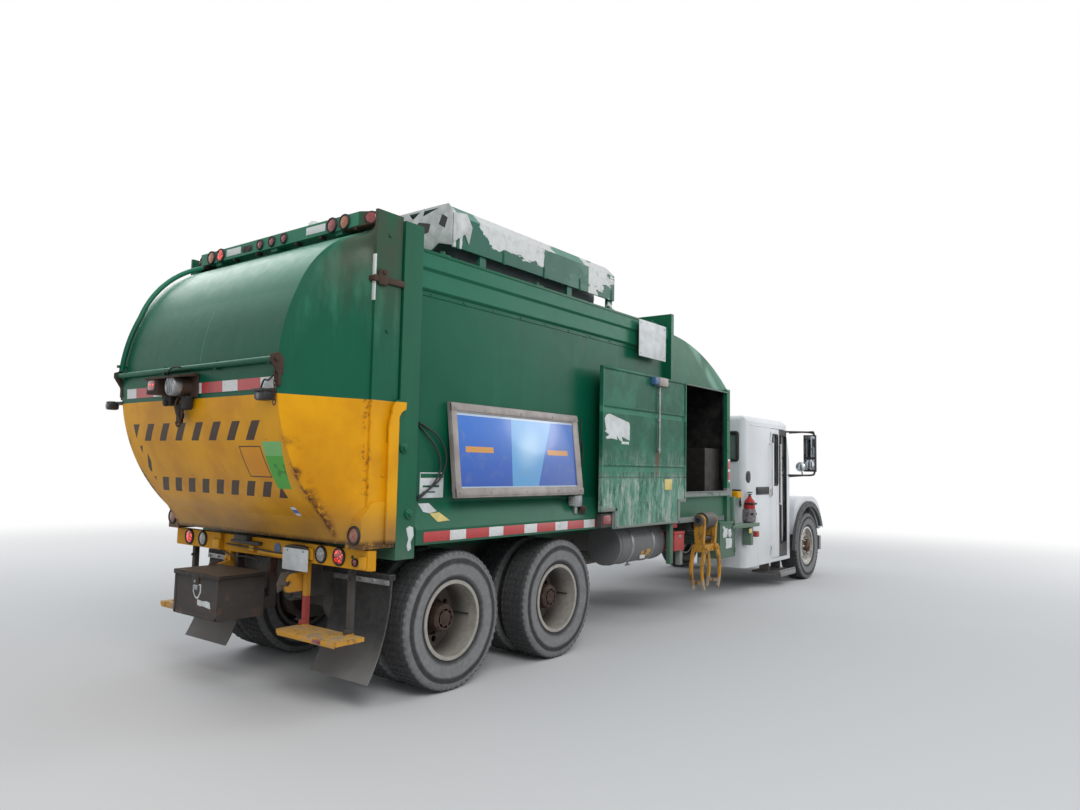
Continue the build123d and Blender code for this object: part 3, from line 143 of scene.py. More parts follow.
class Shading:
    """A node tree under construction."""

    def __init__(self, owner):
        owner.use_nodes = True
        self.tree = owner.node_tree
        self.tree.nodes.clear()

    def node(self, kind, settings=None, inputs=None):
        "Any node: its settings are set first, then its sockets' values or links."
        made = self.tree.nodes.new(kind)
        for setting, value in (settings or {}).items():
            setattr(made, setting, value)
        for key, value in (inputs or {}).items():
            self.feed(made.inputs[key], value)
        return made

    def feed(self, socket, value):
        if isinstance(value, Value):
            value = value.socket
        if isinstance(value, bpy.types.NodeSocket):
            self.tree.links.new(value, socket)
        elif socket.type == "RGBA" and len(value) == 3:
            socket.default_value = (*value, 1)
        else:
            socket.default_value = value

    def maths(self, operation, first, second=None):
        inputs = {0: first} if second is None else {0: first, 1: second}
        return Value(self, self.node("ShaderNodeMath", {"operation": operation}, inputs).outputs[0])

    def length(self, first, second):
        return self.maths("SQRT", first * first + second * second)

    def seen(self):
        "More than 0 where the camera or a glossy surface looks straight at the background."
        rays = self.node("ShaderNodeLightPath").outputs
        return Value(self, rays["Is Camera Ray"]) + Value(self, rays["Is Glossy Ray"]), rays


class Finish(Shading):
    """A material under construction, with its Principled shader and the colour so far."""

    def __init__(self, name, tint=None, **constants):
        self.material = bpy.data.materials.new(name)
        super().__init__(self.material)
        self.tint = tint
        self.shader = self.node("ShaderNodeBsdfPrincipled", {}, constants)
        self.output = self.node("ShaderNodeOutputMaterial", {}, {"Surface": self.shader.outputs[0]})
        coordinates = self.node("ShaderNodeTexCoord")
        self.place = coordinates.outputs["Object"]
        apart = self.node("ShaderNodeSeparateXYZ", {}, {0: self.place})
        self.x = Value(self, apart.outputs[0]) - ROW_SHIFT
        self.y = Value(self, apart.outputs[1])
        self.z = Value(self, apart.outputs[2])
        facing = self.node("ShaderNodeSeparateXYZ", {}, {0: coordinates.outputs["Normal"]})
        self.up = Value(self, facing.outputs[2])

    def noise(self, scale, detail=4.0, stretch=(1, 1, 1), shift=(0, 0, 0), rough=0.55):
        "Smooth noise from 0 to 1 on the piece's own place; stretch multiplies its fineness."
        moved = self.node("ShaderNodeMapping", {}, {"Vector": self.place, "Location": shift,
                                                    "Scale": stretch})
        node = self.node("ShaderNodeTexNoise", {}, {"Vector": moved.outputs[0], "Scale": scale,
                                                    "Detail": detail, "Roughness": rough})
        return Value(self, node.outputs[0])

    def cells(self, scale, distance="F1"):
        moved = self.node("ShaderNodeMapping", {}, {"Vector": self.place})
        node = self.node("ShaderNodeTexVoronoi", {"feature": distance},
                         {"Vector": moved.outputs[0], "Scale": scale})
        return Value(self, node.outputs["Distance"])

    def blend(self, mask, first, second):
        "first where the mask is 0, second where it is 1."
        return self.node("ShaderNodeMix", {"data_type": "RGBA"}, {0: mask, 6: first, 7: second}).outputs[2]

    def coat(self, mask, tint):
        "Lays a tint over the colour so far where the mask is 1."
        self.tint = self.blend(mask, self.tint, tint)

    def box(self, x=None, y=None, z=None):
        "1 inside the given ranges."
        mask = None
        for value, span in ((self.x, x), (self.y, y), (self.z, z)):
            if span:
                inside = value.over(span[0]) * value.under(span[1])
                mask = inside if mask is None else mask * inside
        return mask

    def edges(self, width=0.006, low=0.02, high=0.16):
        "1 along the piece's edges, and the rounded normal that shows them."
        soft = self.node("ShaderNodeBevel", {"samples": 4}, {"Radius": width}).outputs[0]
        plain = self.node("ShaderNodeNewGeometry").outputs["Normal"]
        along = self.node("ShaderNodeVectorMath", {"operation": "DOT_PRODUCT"}, {0: soft, 1: plain})
        return (1 - Value(self, along.outputs["Value"])).ease(low, high), soft

    def done(self, roughness=None, height=None, strength=0.3, distance=0.002, normal=None):
        "Joins colour, roughness and bumps to the shader, and gives the material."
        self.feed(self.shader.inputs["Base Color"], self.tint)
        if roughness is not None:
            self.feed(self.shader.inputs["Roughness"], roughness)
        if height is not None:
            inputs = {"Height": height, "Strength": strength, "Distance": distance}
            if normal is not None:
                inputs["Normal"] = normal
            self.feed(self.shader.inputs["Normal"], self.node("ShaderNodeBump", {}, inputs).outputs[0])
        return self.material


def weathered(name, base, chalk_and_top_light, dust=0.35, rust=0.5, gloss=0.3, marks=None, dust_top=1.5, worn_edges=0.6,
              shine=0.22):
    """Old sheet-metal paint: paler where faces point up (chalked, with painted sky light on the tops),
    streaked, dusty low down, rusted along its edges. marks(paint) may lay markings over the paint, under the
    dust and rust."""
    paint = Finish(name, base, **{"Coat Weight": 0.04, "Coat Roughness": 0.2, "Specular IOR Level": shine})
    wide = paint.noise(0.8, 3)
    fine = paint.noise(14, 5, shift=(3, 1, 7))
    streak = paint.noise(7, 5, stretch=(1, 1, 0.09), shift=(1, 5, 2))
    edge, soft_normal = paint.edges()
    paint.coat(wide.ease(0.3, 0.75), darker(base, 0.8))
    # Paler where faces point up: chalked paint, and painted sky light on the tops.
    paint.coat(paint.up.ease(0.25, 0.95) * (0.55 + 0.45 * fine), chalk_and_top_light)
    paint.coat(streak.ease(0.56, 0.8) * 0.45, darker(base, 0.55))
    paint.coat(streak.ease(0.44, 0.2) * 0.1, chalk_and_top_light)
    if marks:
        marks(paint)
    dusty = (paint.z.ease(dust_top, 0.75) * (0.4 + 0.9 * fine) * dust).smallest(0.85)
    paint.coat(dusty, DUST)
    spots = paint.noise(9, 6, shift=(8, 2, 4), rough=0.7)
    rusty = (edge * spots.ease(0.5, 0.62) * worn_edges + spots.ease(0.72, 0.76) * rust).smallest(1)
    paint.coat(rusty, paint.blend(fine.ease(0.35, 0.65), RUST, RUST_DARK))
    dents = paint.noise(2.2, 2, shift=(4, 4, 4))
    return paint.done((gloss + 0.25 * fine + 0.3 * dusty + 0.4 * rusty).smallest(0.95),
                      fine * 0.15 + dents * 1.2 + spots * rusty * 0.8, 0.22, 0.004, soft_normal)


def plain_finish(name, base, rough=0.5, metallic=0.0, variation=0.3, scale=12, dust=0.0, bump=0.15,
                 soft_edges=True):
    "A finish with fine variation in colour and gloss, and dust from below."
    made = Finish(name, base, Metallic=metallic)
    fine = made.noise(scale, 5)
    wide = made.noise(scale / 6, 3, shift=(2, 6, 1))
    dark = darker(base, 1 - variation)
    made.coat(fine.ease(0.3, 0.7), dark)
    made.coat(wide.ease(0.35, 0.75) * variation, dark)
    if dust:
        settled = (made.z.ease(1.6, 0.3) * 0.6 + made.up.ease(0.3, 0.9) * 0.6) * (0.3 + fine) * dust
        made.coat(settled.smallest(0.9), DUST)
    return made.done((rough - 0.1 + 0.25 * fine).smallest(1), fine, bump, 0.0015,
                     made.edges(0.003)[1] if soft_edges else None)


# Shapes
def only(kind, items):
    return [item for item in items if isinstance(item, kind)]


class Form:
    """Meshes built from operators, one piece after another. Every call may give the number of the
    finish that its faces take."""

    def __init__(self):
        self.mesh = bmesh.new()
        self.known = set()

    def fresh(self, finish=None):
        "The faces made since the last call, which take the finish."
        faces = [face for face in self.mesh.faces if face not in self.known]
        if finish is not None:
            for face in faces:
                face.material_index = finish
            self.known.update(faces)
        return faces

    def soften(self, edges, width, segments=2):
        bmesh.ops.bevel(self.mesh, geom=list(edges), offset=width, offset_type="OFFSET", segments=segments,
                        profile=0.5, affect="EDGES", material=-1, clamp_overlap=True)

    def slab(self, x0, x1, y0, y1, z0, z1, soft=0.003, finish=0, turn=None, segments=2):
        "A box between two values on each axis, with soft edges; turn is a matrix about its middle."
        size = abs(x1 - x0), abs(y1 - y0), abs(z1 - z0)
        middle = Vector((x0 + x1, y0 + y1, z0 + z1)) / 2
        place = Matrix.Translation(middle) @ (turn or Matrix.Identity(4)) @ Matrix.Diagonal((*size, 1))
        made = bmesh.ops.create_cube(self.mesh, size=1, matrix=place)["verts"]
        if soft:
            self.soften({edge for vert in made for edge in vert.link_edges}, min(soft, min(size) * 0.45),
                        segments)
        self.fresh(finish)

    def slabs(self, rows, finish=0):
        "Boxes by rows of x0, x1, y0, y1, z0, z1 and softness."
        for row in rows:
            self.slab(*row, finish)

    def rod(self, start, end, radius, sides=20, finish=0, soft=0.0, end_radius=None):
        "A round bar between two points."
        start, end = Vector(start), Vector(end)
        line = end - start
        turn = Vector((0, 0, 1)).rotation_difference(line).to_matrix().to_4x4()
        made = bmesh.ops.create_cone(self.mesh, cap_ends=True, segments=sides, radius1=radius,
                                     radius2=radius if end_radius is None else end_radius,
                                     depth=line.length, matrix=Matrix.Translation((start + end) / 2) @ turn)
        if soft:
            edges = {edge for vert in made["verts"] for edge in vert.link_edges if len(edge.link_faces) == 2}
            self.soften([edge for edge in edges if max(len(face.verts) for face in edge.link_faces) > 4],
                        soft)
        self.fresh(finish)

    def ring(self, profile, centre, axis, sides=32, finish=0, closed=False):
        "A profile of (radius, along) points spun about an axis through the centre."
        axis = Vector(axis).normalized()
        side = axis.orthogonal().normalized()
        centre = Vector(centre)
        verts = [self.mesh.verts.new(centre + side * radius + axis * along) for radius, along in profile]
        pairs = list(zip(verts, verts[1:])) + ([(verts[-1], verts[0])] if closed else [])
        edges = [self.mesh.edges.new(pair) for pair in pairs]
        bmesh.ops.spin(self.mesh, geom=verts + edges, cent=centre, axis=axis, angle=math.tau, steps=sides,
                       use_merge=True)
        points = list({vert for face in self.fresh() for vert in face.verts})
        bmesh.ops.remove_doubles(self.mesh, verts=points, dist=1e-5)
        bmesh.ops.recalc_face_normals(self.mesh, faces=self.fresh())
        return self.fresh(finish)

    def plate(self, corners, depth, finish=0, soft=0.0):
        "A flat outline of points made solid along the depth vector."
        verts = [self.mesh.verts.new(point) for point in corners]
        base = bmesh.ops.contextual_create(self.mesh, geom=verts)["faces"]
        grown = bmesh.ops.extrude_face_region(self.mesh, geom=base)["geom"]
        bmesh.ops.translate(self.mesh, verts=only(bmesh.types.BMVert, grown), vec=Vector(depth))
        faces = self.fresh()
        bmesh.ops.recalc_face_normals(self.mesh, faces=faces)
        if soft:
            self.soften({edge for face in faces for edge in face.edges}, soft)
        self.fresh(finish)

    def side(self, outline, y0, y1, finish=0, soft=0.0):
        "An outline of (x, z) corners between two Y values."
        self.plate([(x, y0, z) for x, z in outline], (0, y1 - y0, 0), finish, soft)

    def across(self, outline, x0, x1, finish=0, soft=0.0):
        "An outline of (y, z) corners between two X values."
        self.plate([(x0, y, z) for y, z in outline], (x1 - x0, 0, 0), finish, soft)

    def bolts(self, points, axis, radius=0.011, height=0.009, finish=0):
        "Six-sided bolt heads at each point, standing along the axis."
        for point in points:
            self.rod(point, Vector(point) + Vector(axis) * height, radius, 6, finish)

    def mirrored(self):
        "Everything so far once more, on the truck's other side."
        parts = self.mesh.verts[:] + self.mesh.edges[:] + self.mesh.faces[:]
        twin = bmesh.ops.duplicate(self.mesh, geom=parts)["geom"]
        bmesh.ops.scale(self.mesh, verts=only(bmesh.types.BMVert, twin), vec=(1, -1, 1))
        faces = only(bmesh.types.BMFace, twin)
        bmesh.ops.reverse_faces(self.mesh, faces=faces)
        self.known.update(faces)

    def made(self, name, slot, *finishes, body="chassis", replaces=(), smooth=35):
        "The finished piece, riding on its body; the form starts again empty."
        bmesh.ops.translate(self.mesh, verts=self.mesh.verts, vec=(ROW_SHIFT, 0, 0))
        data = bpy.data.meshes.new(name)
        limit = math.radians(smooth)
        for face in self.mesh.faces:
            face.smooth = True
        for edge in self.mesh.edges:
            edge.smooth = len(edge.link_faces) == 2 and edge.calc_face_angle(0) < limit
        self.mesh.to_mesh(data)
        self.mesh.free()
        self.__init__()
        mounted(name, data, finishes, body, replaces)


def mounted(name, data, finishes, body, replaces=()):
    """An object of the mesh or curve, with its finishes and body."""
    piece = bpy.data.objects.new(name, data)
    bpy.context.scene.collection.objects.link(piece)
    for finish in finishes:
        data.materials.append(finish)
    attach(piece, body)
    if replaces:
        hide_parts(*replaces)


def lines(name, finish, radius, runs, body="chassis"):
    "Bent pipes, hoses or wires: each run is a list of points, in one curve piece."
    data = bpy.data.curves.new(name, "CURVE")
    data.dimensions = "3D"
    data.bevel_depth = radius
    data.bevel_resolution = 3
    data.resolution_u = 6
    data.use_fill_caps = True
    for points in runs:
        spline = data.splines.new("NURBS")
        spline.points.add(len(points) - 1)
        for place, point in zip(spline.points, points):
            place.co = (point[0] + ROW_SHIFT, point[1], point[2], 1)
        spline.order_u = 3
        spline.use_endpoint_u = True
    mounted(name, data, [finish], body)


def dress(finish, *nodes):
    "Gives CAD nodes a finish."
    for node in nodes:
        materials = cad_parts[node].data.materials
        materials.clear()
        materials.append(finish)


def both_sides(run):
    "A run of points on the right and on the left."
    return [[(x, sign * y, z) for x, y, z in run] for sign in (-1, 1)]


def circle(x, z, radius, count, shift=0.0):
    "Places (x, z) spaced evenly round a circle."
    turns = [math.tau * (number + shift) / count for number in range(count)]
    return [(x + radius * math.cos(turn), z + radius * math.sin(turn)) for turn in turns]


def rounded(y0, y1, z0, z1, radius, steps=5):
    "Corners of a rounded rectangle."
    points = []
    for cy, cz, start in ((y1 - radius, z1 - radius, 0), (y0 + radius, z1 - radius, 90),
                          (y0 + radius, z0 + radius, 180), (y1 - radius, z0 + radius, 270)):
        for step in range(steps + 1):
            turn = math.radians(start + 90 * step / steps)
            points.append((cy + radius * math.cos(turn), cz + radius * math.sin(turn)))
    return points


def sheet_x(z):
    "X of the tailgate's back sheet at a height; below 1.32 it runs straight to its lip."
    if z < 1.32:
        return -1.665 + (sheet_x(1.32) + 1.665) * (z - 1.15) / 0.17
    return SHEET_X + SHEET_RADIUS - math.sqrt(SHEET_RADIUS ** 2 - (z - SHEET_Z) ** 2)


# Finishes
def tailgate_marks(paint):
    """Yellow lower half with two rows of dark hazard blocks, blank labels, a rusty seam and lip.
    Green upper half with a painted sheen (a painted highlight towards its top), a weld line and stained
    cheeks."""
    green = paint.tint
    lower = (paint.z + 0.006 * paint.noise(3, 2)).under(SPLIT_Z)
    fine = paint.noise(30, 6, shift=(2, 2, 9), rough=0.65)
    cloud = paint.noise(2.5, 4, shift=(9, 3, 1))
    back = paint.x.under(-1.7) * abs(paint.y).under(1.03)
    paint.tint = YELLOW
    paint.coat(cloud.ease(0.35, 0.7), (0.6, 0.25, 0.004))
    grime = paint.z.ease(1.5, 1.18) * (0.4 + 0.6 * cloud)
    paint.coat(grime.smallest(0.8), (0.26, 0.15, 0.05))
    streak = paint.noise(6, 5, stretch=(1, 1, 0.06), shift=(3, 8, 3))
    paint.coat(streak.ease(0.58, 0.75) * 0.3, (0.4, 0.19, 0.02))

    def row(start, top, slope, pitch, share, y, z):
        phase = ((start - paint.y + (paint.z - top) * slope) / pitch).fraction()
        return phase.under(share) * paint.box(y=y, z=z)

    upper = row(0.895, 1.966, -0.92, 0.2312, 0.42, (-0.845, 0.9), (1.838, 1.966))
    second = row(0.741, 1.561, -1.2, 0.1963, 0.48, (-0.8, 0.88), (1.452, 1.561))
    corner = ((paint.y * 1.3 + paint.z) / 0.17).fraction().under(0.4)
    corner = paint.box(y=(0.8, 0.885), z=(1.6, 1.8)) * corner
    blocks = upper.largest(second).largest(corner) * back * fine.under(0.7)
    paint.coat(paint.box(y=(-0.86, 0.9), z=(1.43, 1.985)) * back * 0.12, (0.56, 0.25, 0.02))
    notice = paint.box(y=(-0.755, -0.5), z=(1.59, 1.8)) * back
    rim = notice * (1 - paint.box(y=(-0.745, -0.51), z=(1.598, 1.792)))
    paint.coat(notice * 0.55, (0.72, 0.27, 0.015))
    paint.coat(rim, (0.1, 0.05, 0.02))
    paint.coat(blocks * 0.96, (0.036, 0.026, 0.024))
    label = paint.box(z=(1.517, 1.828)) * (paint.y - 0.3 * (1.828 - paint.z)).over(-1.0) \
        * (paint.y - 0.1 * (1.828 - paint.z)).under(-0.785) * back
    label_tint = paint.blend(label * paint.z.over(1.735) * 0.5, (0.085, 0.38, 0.055), (0.3, 0.55, 0.26))
    veins = paint.box(y=(-0.97, -0.83), z=(1.6, 1.68)) * paint.cells(16, "DISTANCE_TO_EDGE").under(0.12) * 0.6
    paint.coat(label, paint.blend(veins, label_tint, (0.03, 0.16, 0.03)))
    small = paint.box(y=(-0.8, -0.745), z=(1.33, 1.39)) * back
    paint.coat(small, (0.62, 0.66, 0.72))
    paint.coat(small * paint.z.under(1.372) * paint.z.over(1.346), (0.08, 0.17, 0.5))
    seam = abs(abs(paint.y) - 1.035).ease(0.05, 0.0) * fine.ease(0.4, 0.52) * paint.z.ease(1.92, 1.75)
    paint.coat(seam * paint.noise(5, 3).ease(0.4, 0.55), RUST)
    paint.coat(paint.z.ease(1.19, 1.155) * fine.ease(0.3, 0.5) * 0.8, RUST_DARK)
    joint = abs(paint.x + 1.6).ease(0.04, 0.005) * abs(paint.y).over(1.1) * fine.ease(0.5, 0.6)
    paint.coat(joint * cloud.ease(0.43, 0.56) * 0.9, (0.16, 0.052, 0.016))
    yellow, paint.tint = paint.tint, green
    # Painted highlight: the back sheet is painted paler towards its top.
    sheen = paint.z.ease(2.55, 3.2) * abs(paint.y).under(1.04) * paint.x.under(-1.3)
    paint.coat(sheen * 0.55, GREEN_CHALK_AND_HIGHLIGHT)
    paint.coat(paint.box(y=(-0.106, -0.098), z=(2.39, 2.78)) * back * 0.5, GREEN_CHALK_AND_HIGHLIGHT)
    cheek = (abs(paint.y) - 1.04).ease(0.0, 0.03)
    run = paint.noise(3.2, 6, stretch=(1, 1, 0.22), shift=(6, 2, 3), rough=0.6)
    paint.coat(cheek * run.ease(0.5, 0.64) * paint.z.ease(2.2, 2.9) * 0.45, GREEN_CHALK_AND_HIGHLIGHT)
    stain = cheek * paint.noise(1.6, 5, stretch=(1, 1, 0.35)).ease(0.44, 0.6) * paint.z.ease(2.4, 3.2)
    paint.coat(stain * 0.7, (0.055, 0.045, 0.028))
    paint.coat(lower, yellow)


def guard_marks(paint):
    "Scuffed lower third, bare pale scratches and a rusty run on the guard panel."
    skin = paint.y.under(-1.31)
    scratch = paint.noise(16, 8, stretch=(1, 1, 0.25), rough=0.75)
    low = paint.z.ease(1.95, 1.35)
    paint.coat(scratch.ease(0.64, 0.44) * low * skin * 0.75, (0.15, 0.34, 0.25))
    deep = paint.noise(24, 8, stretch=(1, 1, 0.3), shift=(5, 5, 5), rough=0.8).ease(0.6, 0.66) * skin
    paint.coat(deep * (0.15 + 0.75 * low), (0.46, 0.53, 0.48))
    cloud = paint.noise(3.5, 6, shift=(9, 1, 4), rough=0.65)
    paint.coat(cloud.ease(0.42, 0.68) * skin * 0.45, (0.04, 0.22, 0.14))
    paint.coat(cloud.ease(0.46, 0.32) * low * skin * 0.5, (0.01, 0.055, 0.035))
    scraped = paint.noise(10, 9, stretch=(1, 1, 0.28), shift=(2, 9, 6), rough=0.78)
    reach = (paint.z.ease(1.66, 1.58) * 0.6 + paint.z.ease(1.93, 1.8) * 0.3) * skin
    paint.coat(scraped.ease(0.46, 0.6) * reach, (0.36, 0.41, 0.38))
    paint.coat(scraped.ease(0.44, 0.36) * reach * 0.7, (0.008, 0.06, 0.038))
    paint.coat(paint.box(z=(1.6, 1.618)) * scraped.ease(0.36, 0.5) * skin * 0.55, (0.05, 0.045, 0.035))
    groove = (paint.box(z=(1.665, 1.725)) + paint.box(z=(2.235, 2.295))) * skin
    paint.coat(groove * 0.45, GREEN_CHALK_AND_HIGHLIGHT)
    run = paint.box(x=(2.195, 2.275), z=(1.62, 1.9)) * paint.noise(14, 4, stretch=(1, 1, 0.3)).ease(0.4, 0.55)
    paint.coat(run * skin * 0.8, RUST)


def body_marks(paint):
    """Dirt that runs down from the top rails of the load body and gathers along the ledges; the top rails'
    faces carry a painted highlight.
    """
    run = paint.noise(5, 5, stretch=(1, 1, 0.05), shift=(7, 7, 7))
    under_rail = paint.z.ease(2.6, 3.0) * paint.z.ease(3.02, 2.98)
    paint.coat(run.ease(0.52, 0.75) * under_rail * 0.4, GREEN_DARK)
    # Painted highlight: the top rails' outer faces are painted paler.
    paint.coat(paint.z.over(3.0) * abs(paint.y).over(1.185) * paint.x.under(2.71) * 0.4, (0.03, 0.2, 0.12))
    paint.coat(abs(paint.y).under(1.2) * paint.z.ease(1.75, 1.42) * run.ease(0.4, 0.6) * 0.45,
               (0.02, 0.06, 0.04))


def cover_marks(paint):
    "Green film torn off the white roof cover, with grime where it ends."
    ragged = paint.noise(1.6, 7, shift=(2.6, 0.3, 5.2), rough=0.62)
    patches = paint.noise(2.6, 6, stretch=(0.6, 1, 1.5), shift=(7.1, 3, 2), rough=0.6)
    along = paint.x + 0.9 * ragged - 0.45
    upper = (along + (paint.z - 3.6) * 0.7).over(-0.1) * (along - (paint.z - 3.6) * 0.6).under(0.72)
    upper = upper * (paint.z + 0.5 * patches - 0.25).over(3.6)
    far_end = paint.x.over(1.45) * patches.over(0.57)
    top = paint.up.over(0.7) * ragged.over(0.5)
    bare = upper.largest(far_end).largest(top).largest((paint.x + 0.15 * patches).under(-0.38))
    paint.coat(patches.ease(0.56, 0.6) * 0.5, (0.05, 0.17, 0.12))
    pale = paint.blend(paint.noise(20, 4).ease(0.4, 0.7) * 0.4, (0.62, 0.63, 0.62), (0.42, 0.42, 0.4))
    pale = paint.blend(paint.noise(5, 6).ease(0.55, 0.7) * 0.4, pale, (0.2, 0.19, 0.18))
    paint.coat(bare, pale)


def hopper_marks(paint):
    """Hopper inside painted near black as painted shade, with scoured patches; creased hood with painted
    highlights on its creases and fold and a bright front edge; a scraped sill.
    """
    inside = abs(paint.y).under(1.172) * paint.x.over(2.765) * paint.x.under(4.385) * paint.z.under(3.2) \
        * paint.z.over(0.985) * (1 - paint.up.over(0.25) * paint.z.over(2.5))
    wear = paint.noise(6, 6, rough=0.7)
    # Painted shade: near black for the hopper's inside, with scoured patches.
    dark = paint.blend(wear.ease(0.4, 0.65), (0.01, 0.01, 0.01), (0.03, 0.028, 0.026))
    sill = paint.box(x=(2.76, 4.4), y=(-1.3, -0.5), z=(1.38, 1.47)) * wear.ease(0.35, 0.5)
    paint.coat(sill * 0.85, (0.24, 0.24, 0.24))
    reach = paint.x + (paint.z - 2.74) * 1.45
    crease_highlight = paint.noise(3, 4, stretch=(1, 1, 0.35), shift=(1, 8, 2))
    skin = paint.z.over(2.72) * (1 - inside)
    # Painted highlights: pale streaks near the hood's front and on its fold, and a pale front edge.
    paint.coat(reach.ease(4.05, 4.45) * crease_highlight.ease(0.35, 0.6) * skin * 0.55, (0.16, 0.42, 0.3))
    fold = reach.ease(3.86, 4.02) * reach.ease(4.2, 4.06) * crease_highlight.ease(0.3, 0.55)
    paint.coat(fold * skin * 0.6, (0.24, 0.48, 0.37))
    paint.coat(reach.over(4.43) * skin * 0.6, (0.3, 0.5, 0.4))
    paint.coat(inside, dark)


def arm_marks(paint):
    "Scoured rust and bare pale tips on the lifting fingers."
    fine = paint.noise(16, 7, stretch=(1, 1, 0.4), shift=(4, 1, 1), rough=0.7)
    paint.coat(fine.ease(0.5, 0.62) * 0.85, (0.1, 0.045, 0.016))
    paint.coat(fine.ease(0.42, 0.3) * 0.5, (0.38, 0.19, 0.03))
    paint.coat(paint.z.ease(0.46, 0.4) * fine.ease(0.62, 0.5) * 0.85, (0.36, 0.33, 0.28))


def box_marks(paint):
    "Blooms of rust on the tool box, thickest near its bottom and right edge."
    bloom = paint.noise(7, 6, shift=(2, 7, 3), rough=0.65)
    low = 0.35 + 0.65 * paint.z.ease(0.74, 0.58) + 0.4 * paint.y.ease(0.05, -0.18)
    paint.coat(bloom.ease(0.52, 0.64) * low.smallest(1) * 0.8, (0.1, 0.04, 0.018))
    paint.coat(bloom.ease(0.66, 0.72) * low.smallest(1) * 0.7, (0.2, 0.075, 0.025))


def step_marks(paint):
    """Red lower half on the inner step hangers, outer hangers painted dark as painted shade, worn step
    plates.
    """
    worn = paint.noise(11, 7, shift=(6, 2, 1), rough=0.7)
    paint.coat(worn.ease(0.52, 0.62) * paint.z.under(0.53) * 0.85, (0.3, 0.27, 0.24))
    paint.coat(worn.ease(0.44, 0.36) * paint.z.under(0.53) * 0.6, (0.16, 0.07, 0.025))
    above = paint.z.over(0.53) * paint.z.under(0.97)
    # Painted shade: the outer hangers are painted dark.
    paint.coat(above * abs(paint.y).over(0.9), (0.03, 0.027, 0.025))
    paint.coat(above * abs(paint.y).under(0.9) * paint.z.under(0.73), (0.36, 0.035, 0.03))


green_paint = weathered("green_paint", GREEN, GREEN_CHALK_AND_HIGHLIGHT, dust=0.2, rust=0.25, marks=body_marks, shine=0.15)
post_paint = weathered("post_paint", (0.005, 0.105, 0.052), GREEN_CHALK_AND_HIGHLIGHT, dust=0.3, rust=0.4)
gate_paint = weathered("gate_paint", GREEN, GREEN_CHALK_AND_HIGHLIGHT, dust=0.1, rust=0.2, gloss=0.26,
                       marks=tailgate_marks, dust_top=1.2, shine=0.18)
guard_paint = weathered("guard_paint", (0.006, 0.1, 0.055), GREEN_CHALK_AND_HIGHLIGHT, dust=0.2, gloss=0.4,
                        marks=guard_marks)
cover_paint = weathered("cover_paint", (0.008, 0.11, 0.07), (0.1, 0.3, 0.22), rust=0.4, marks=cover_marks)
hopper_paint = weathered("hopper_paint", (0.006, 0.115, 0.056), GREEN_CHALK_AND_HIGHLIGHT, rust=0.4, marks=hopper_marks)
yellow_paint = weathered("yellow_paint", YELLOW, (0.68, 0.42, 0.1), dust=0.45, rust=1.0, gloss=0.4,
                         worn_edges=1.0, dust_top=1.1)
arm_paint = weathered("arm_paint", (0.58, 0.27, 0.012), (0.5, 0.3, 0.08), dust=0.1, rust=1.0, gloss=0.4,
                      worn_edges=1.0, dust_top=0.6, marks=arm_marks)
step_paint = weathered("step_paint", (0.66, 0.3, 0.008), (0.6, 0.36, 0.09), dust=0.16, rust=1.0, gloss=0.55,
                       worn_edges=1.0, dust_top=1.0, marks=step_marks)
cab_paint = weathered("cab_paint", WHITE, (0.82, 0.84, 0.86), dust=0.12, rust=0.0, gloss=0.22, worn_edges=0.0,
                      dust_top=1.1, shine=0.4)
red_paint = weathered("red_paint", (0.45, 0.014, 0.016), (0.55, 0.1, 0.08), dust=0.2, rust=0.4, gloss=0.35)
rusty_iron = weathered("rusty_iron", (0.06, 0.036, 0.025), (0.11, 0.075, 0.05), dust=0.25, rust=1.0,
                       gloss=0.6)
dark_iron = weathered("dark_iron", (0.022, 0.02, 0.019), (0.07, 0.065, 0.06), dust=0.45, gloss=0.5)
box_paint = weathered("box_paint", (0.028, 0.022, 0.02), (0.09, 0.072, 0.06), dust=0.12, rust=1.0, gloss=0.45,
                      worn_edges=1.0, dust_top=0.9, marks=box_marks)
tank_paint = weathered("tank_paint", (0.13, 0.135, 0.145), (0.26, 0.26, 0.26), dust=0.3, rust=0.4, gloss=0.35)
scraped_paint = weathered("scraped_paint", (0.2, 0.23, 0.21), (0.34, 0.36, 0.34), dust=0.2, rust=1.0,
                          gloss=0.5, worn_edges=1.0)
shelf_paint = weathered("shelf_paint", (0.1, 0.2, 0.14), (0.22, 0.34, 0.26), dust=0.3, rust=0.8, gloss=0.5)

frame_paint = plain_finish("frame_paint", (0.022, 0.021, 0.021), 0.6, dust=0.7)
axle_iron = plain_finish("axle_iron", (0.035, 0.031, 0.028), 0.7, dust=0.8)
black_trim = plain_finish("black_trim", BLACK, 0.45, dust=0.12)
fender_trim = plain_finish("fender_trim", (0.055, 0.058, 0.066), 0.55, dust=0.25, scale=40)
cab_inside = plain_finish("cab_inside", (0.06, 0.06, 0.065), 0.6)
alloy = plain_finish("alloy", (0.52, 0.53, 0.54), 0.32, 0.9, 0.2)
galvanised = plain_finish("galvanised", (0.34, 0.35, 0.36), 0.45, 0.75, 0.35, dust=0.3)
ram_steel = plain_finish("ram_steel", (0.035, 0.03, 0.028), 0.55, 0.4, 0.5)
chrome = plain_finish("chrome", (0.7, 0.7, 0.71), 0.1, 1.0, 0.06, bump=0.03)
mirror_glass = plain_finish("mirror_glass", (0.62, 0.66, 0.7), 0.04, 1.0, 0.02, bump=0.0, soft_edges=False)
board_frame = plain_finish("board_frame", (0.36, 0.32, 0.3), 0.5, 0.2, 0.3, scale=8)
hose_rubber = plain_finish("hose_rubber", (0.02, 0.02, 0.021), 0.55, scale=50, soft_edges=False)
white_label = plain_finish("white_label", (0.66, 0.68, 0.68), 0.5, 0, 0.25, scale=9)
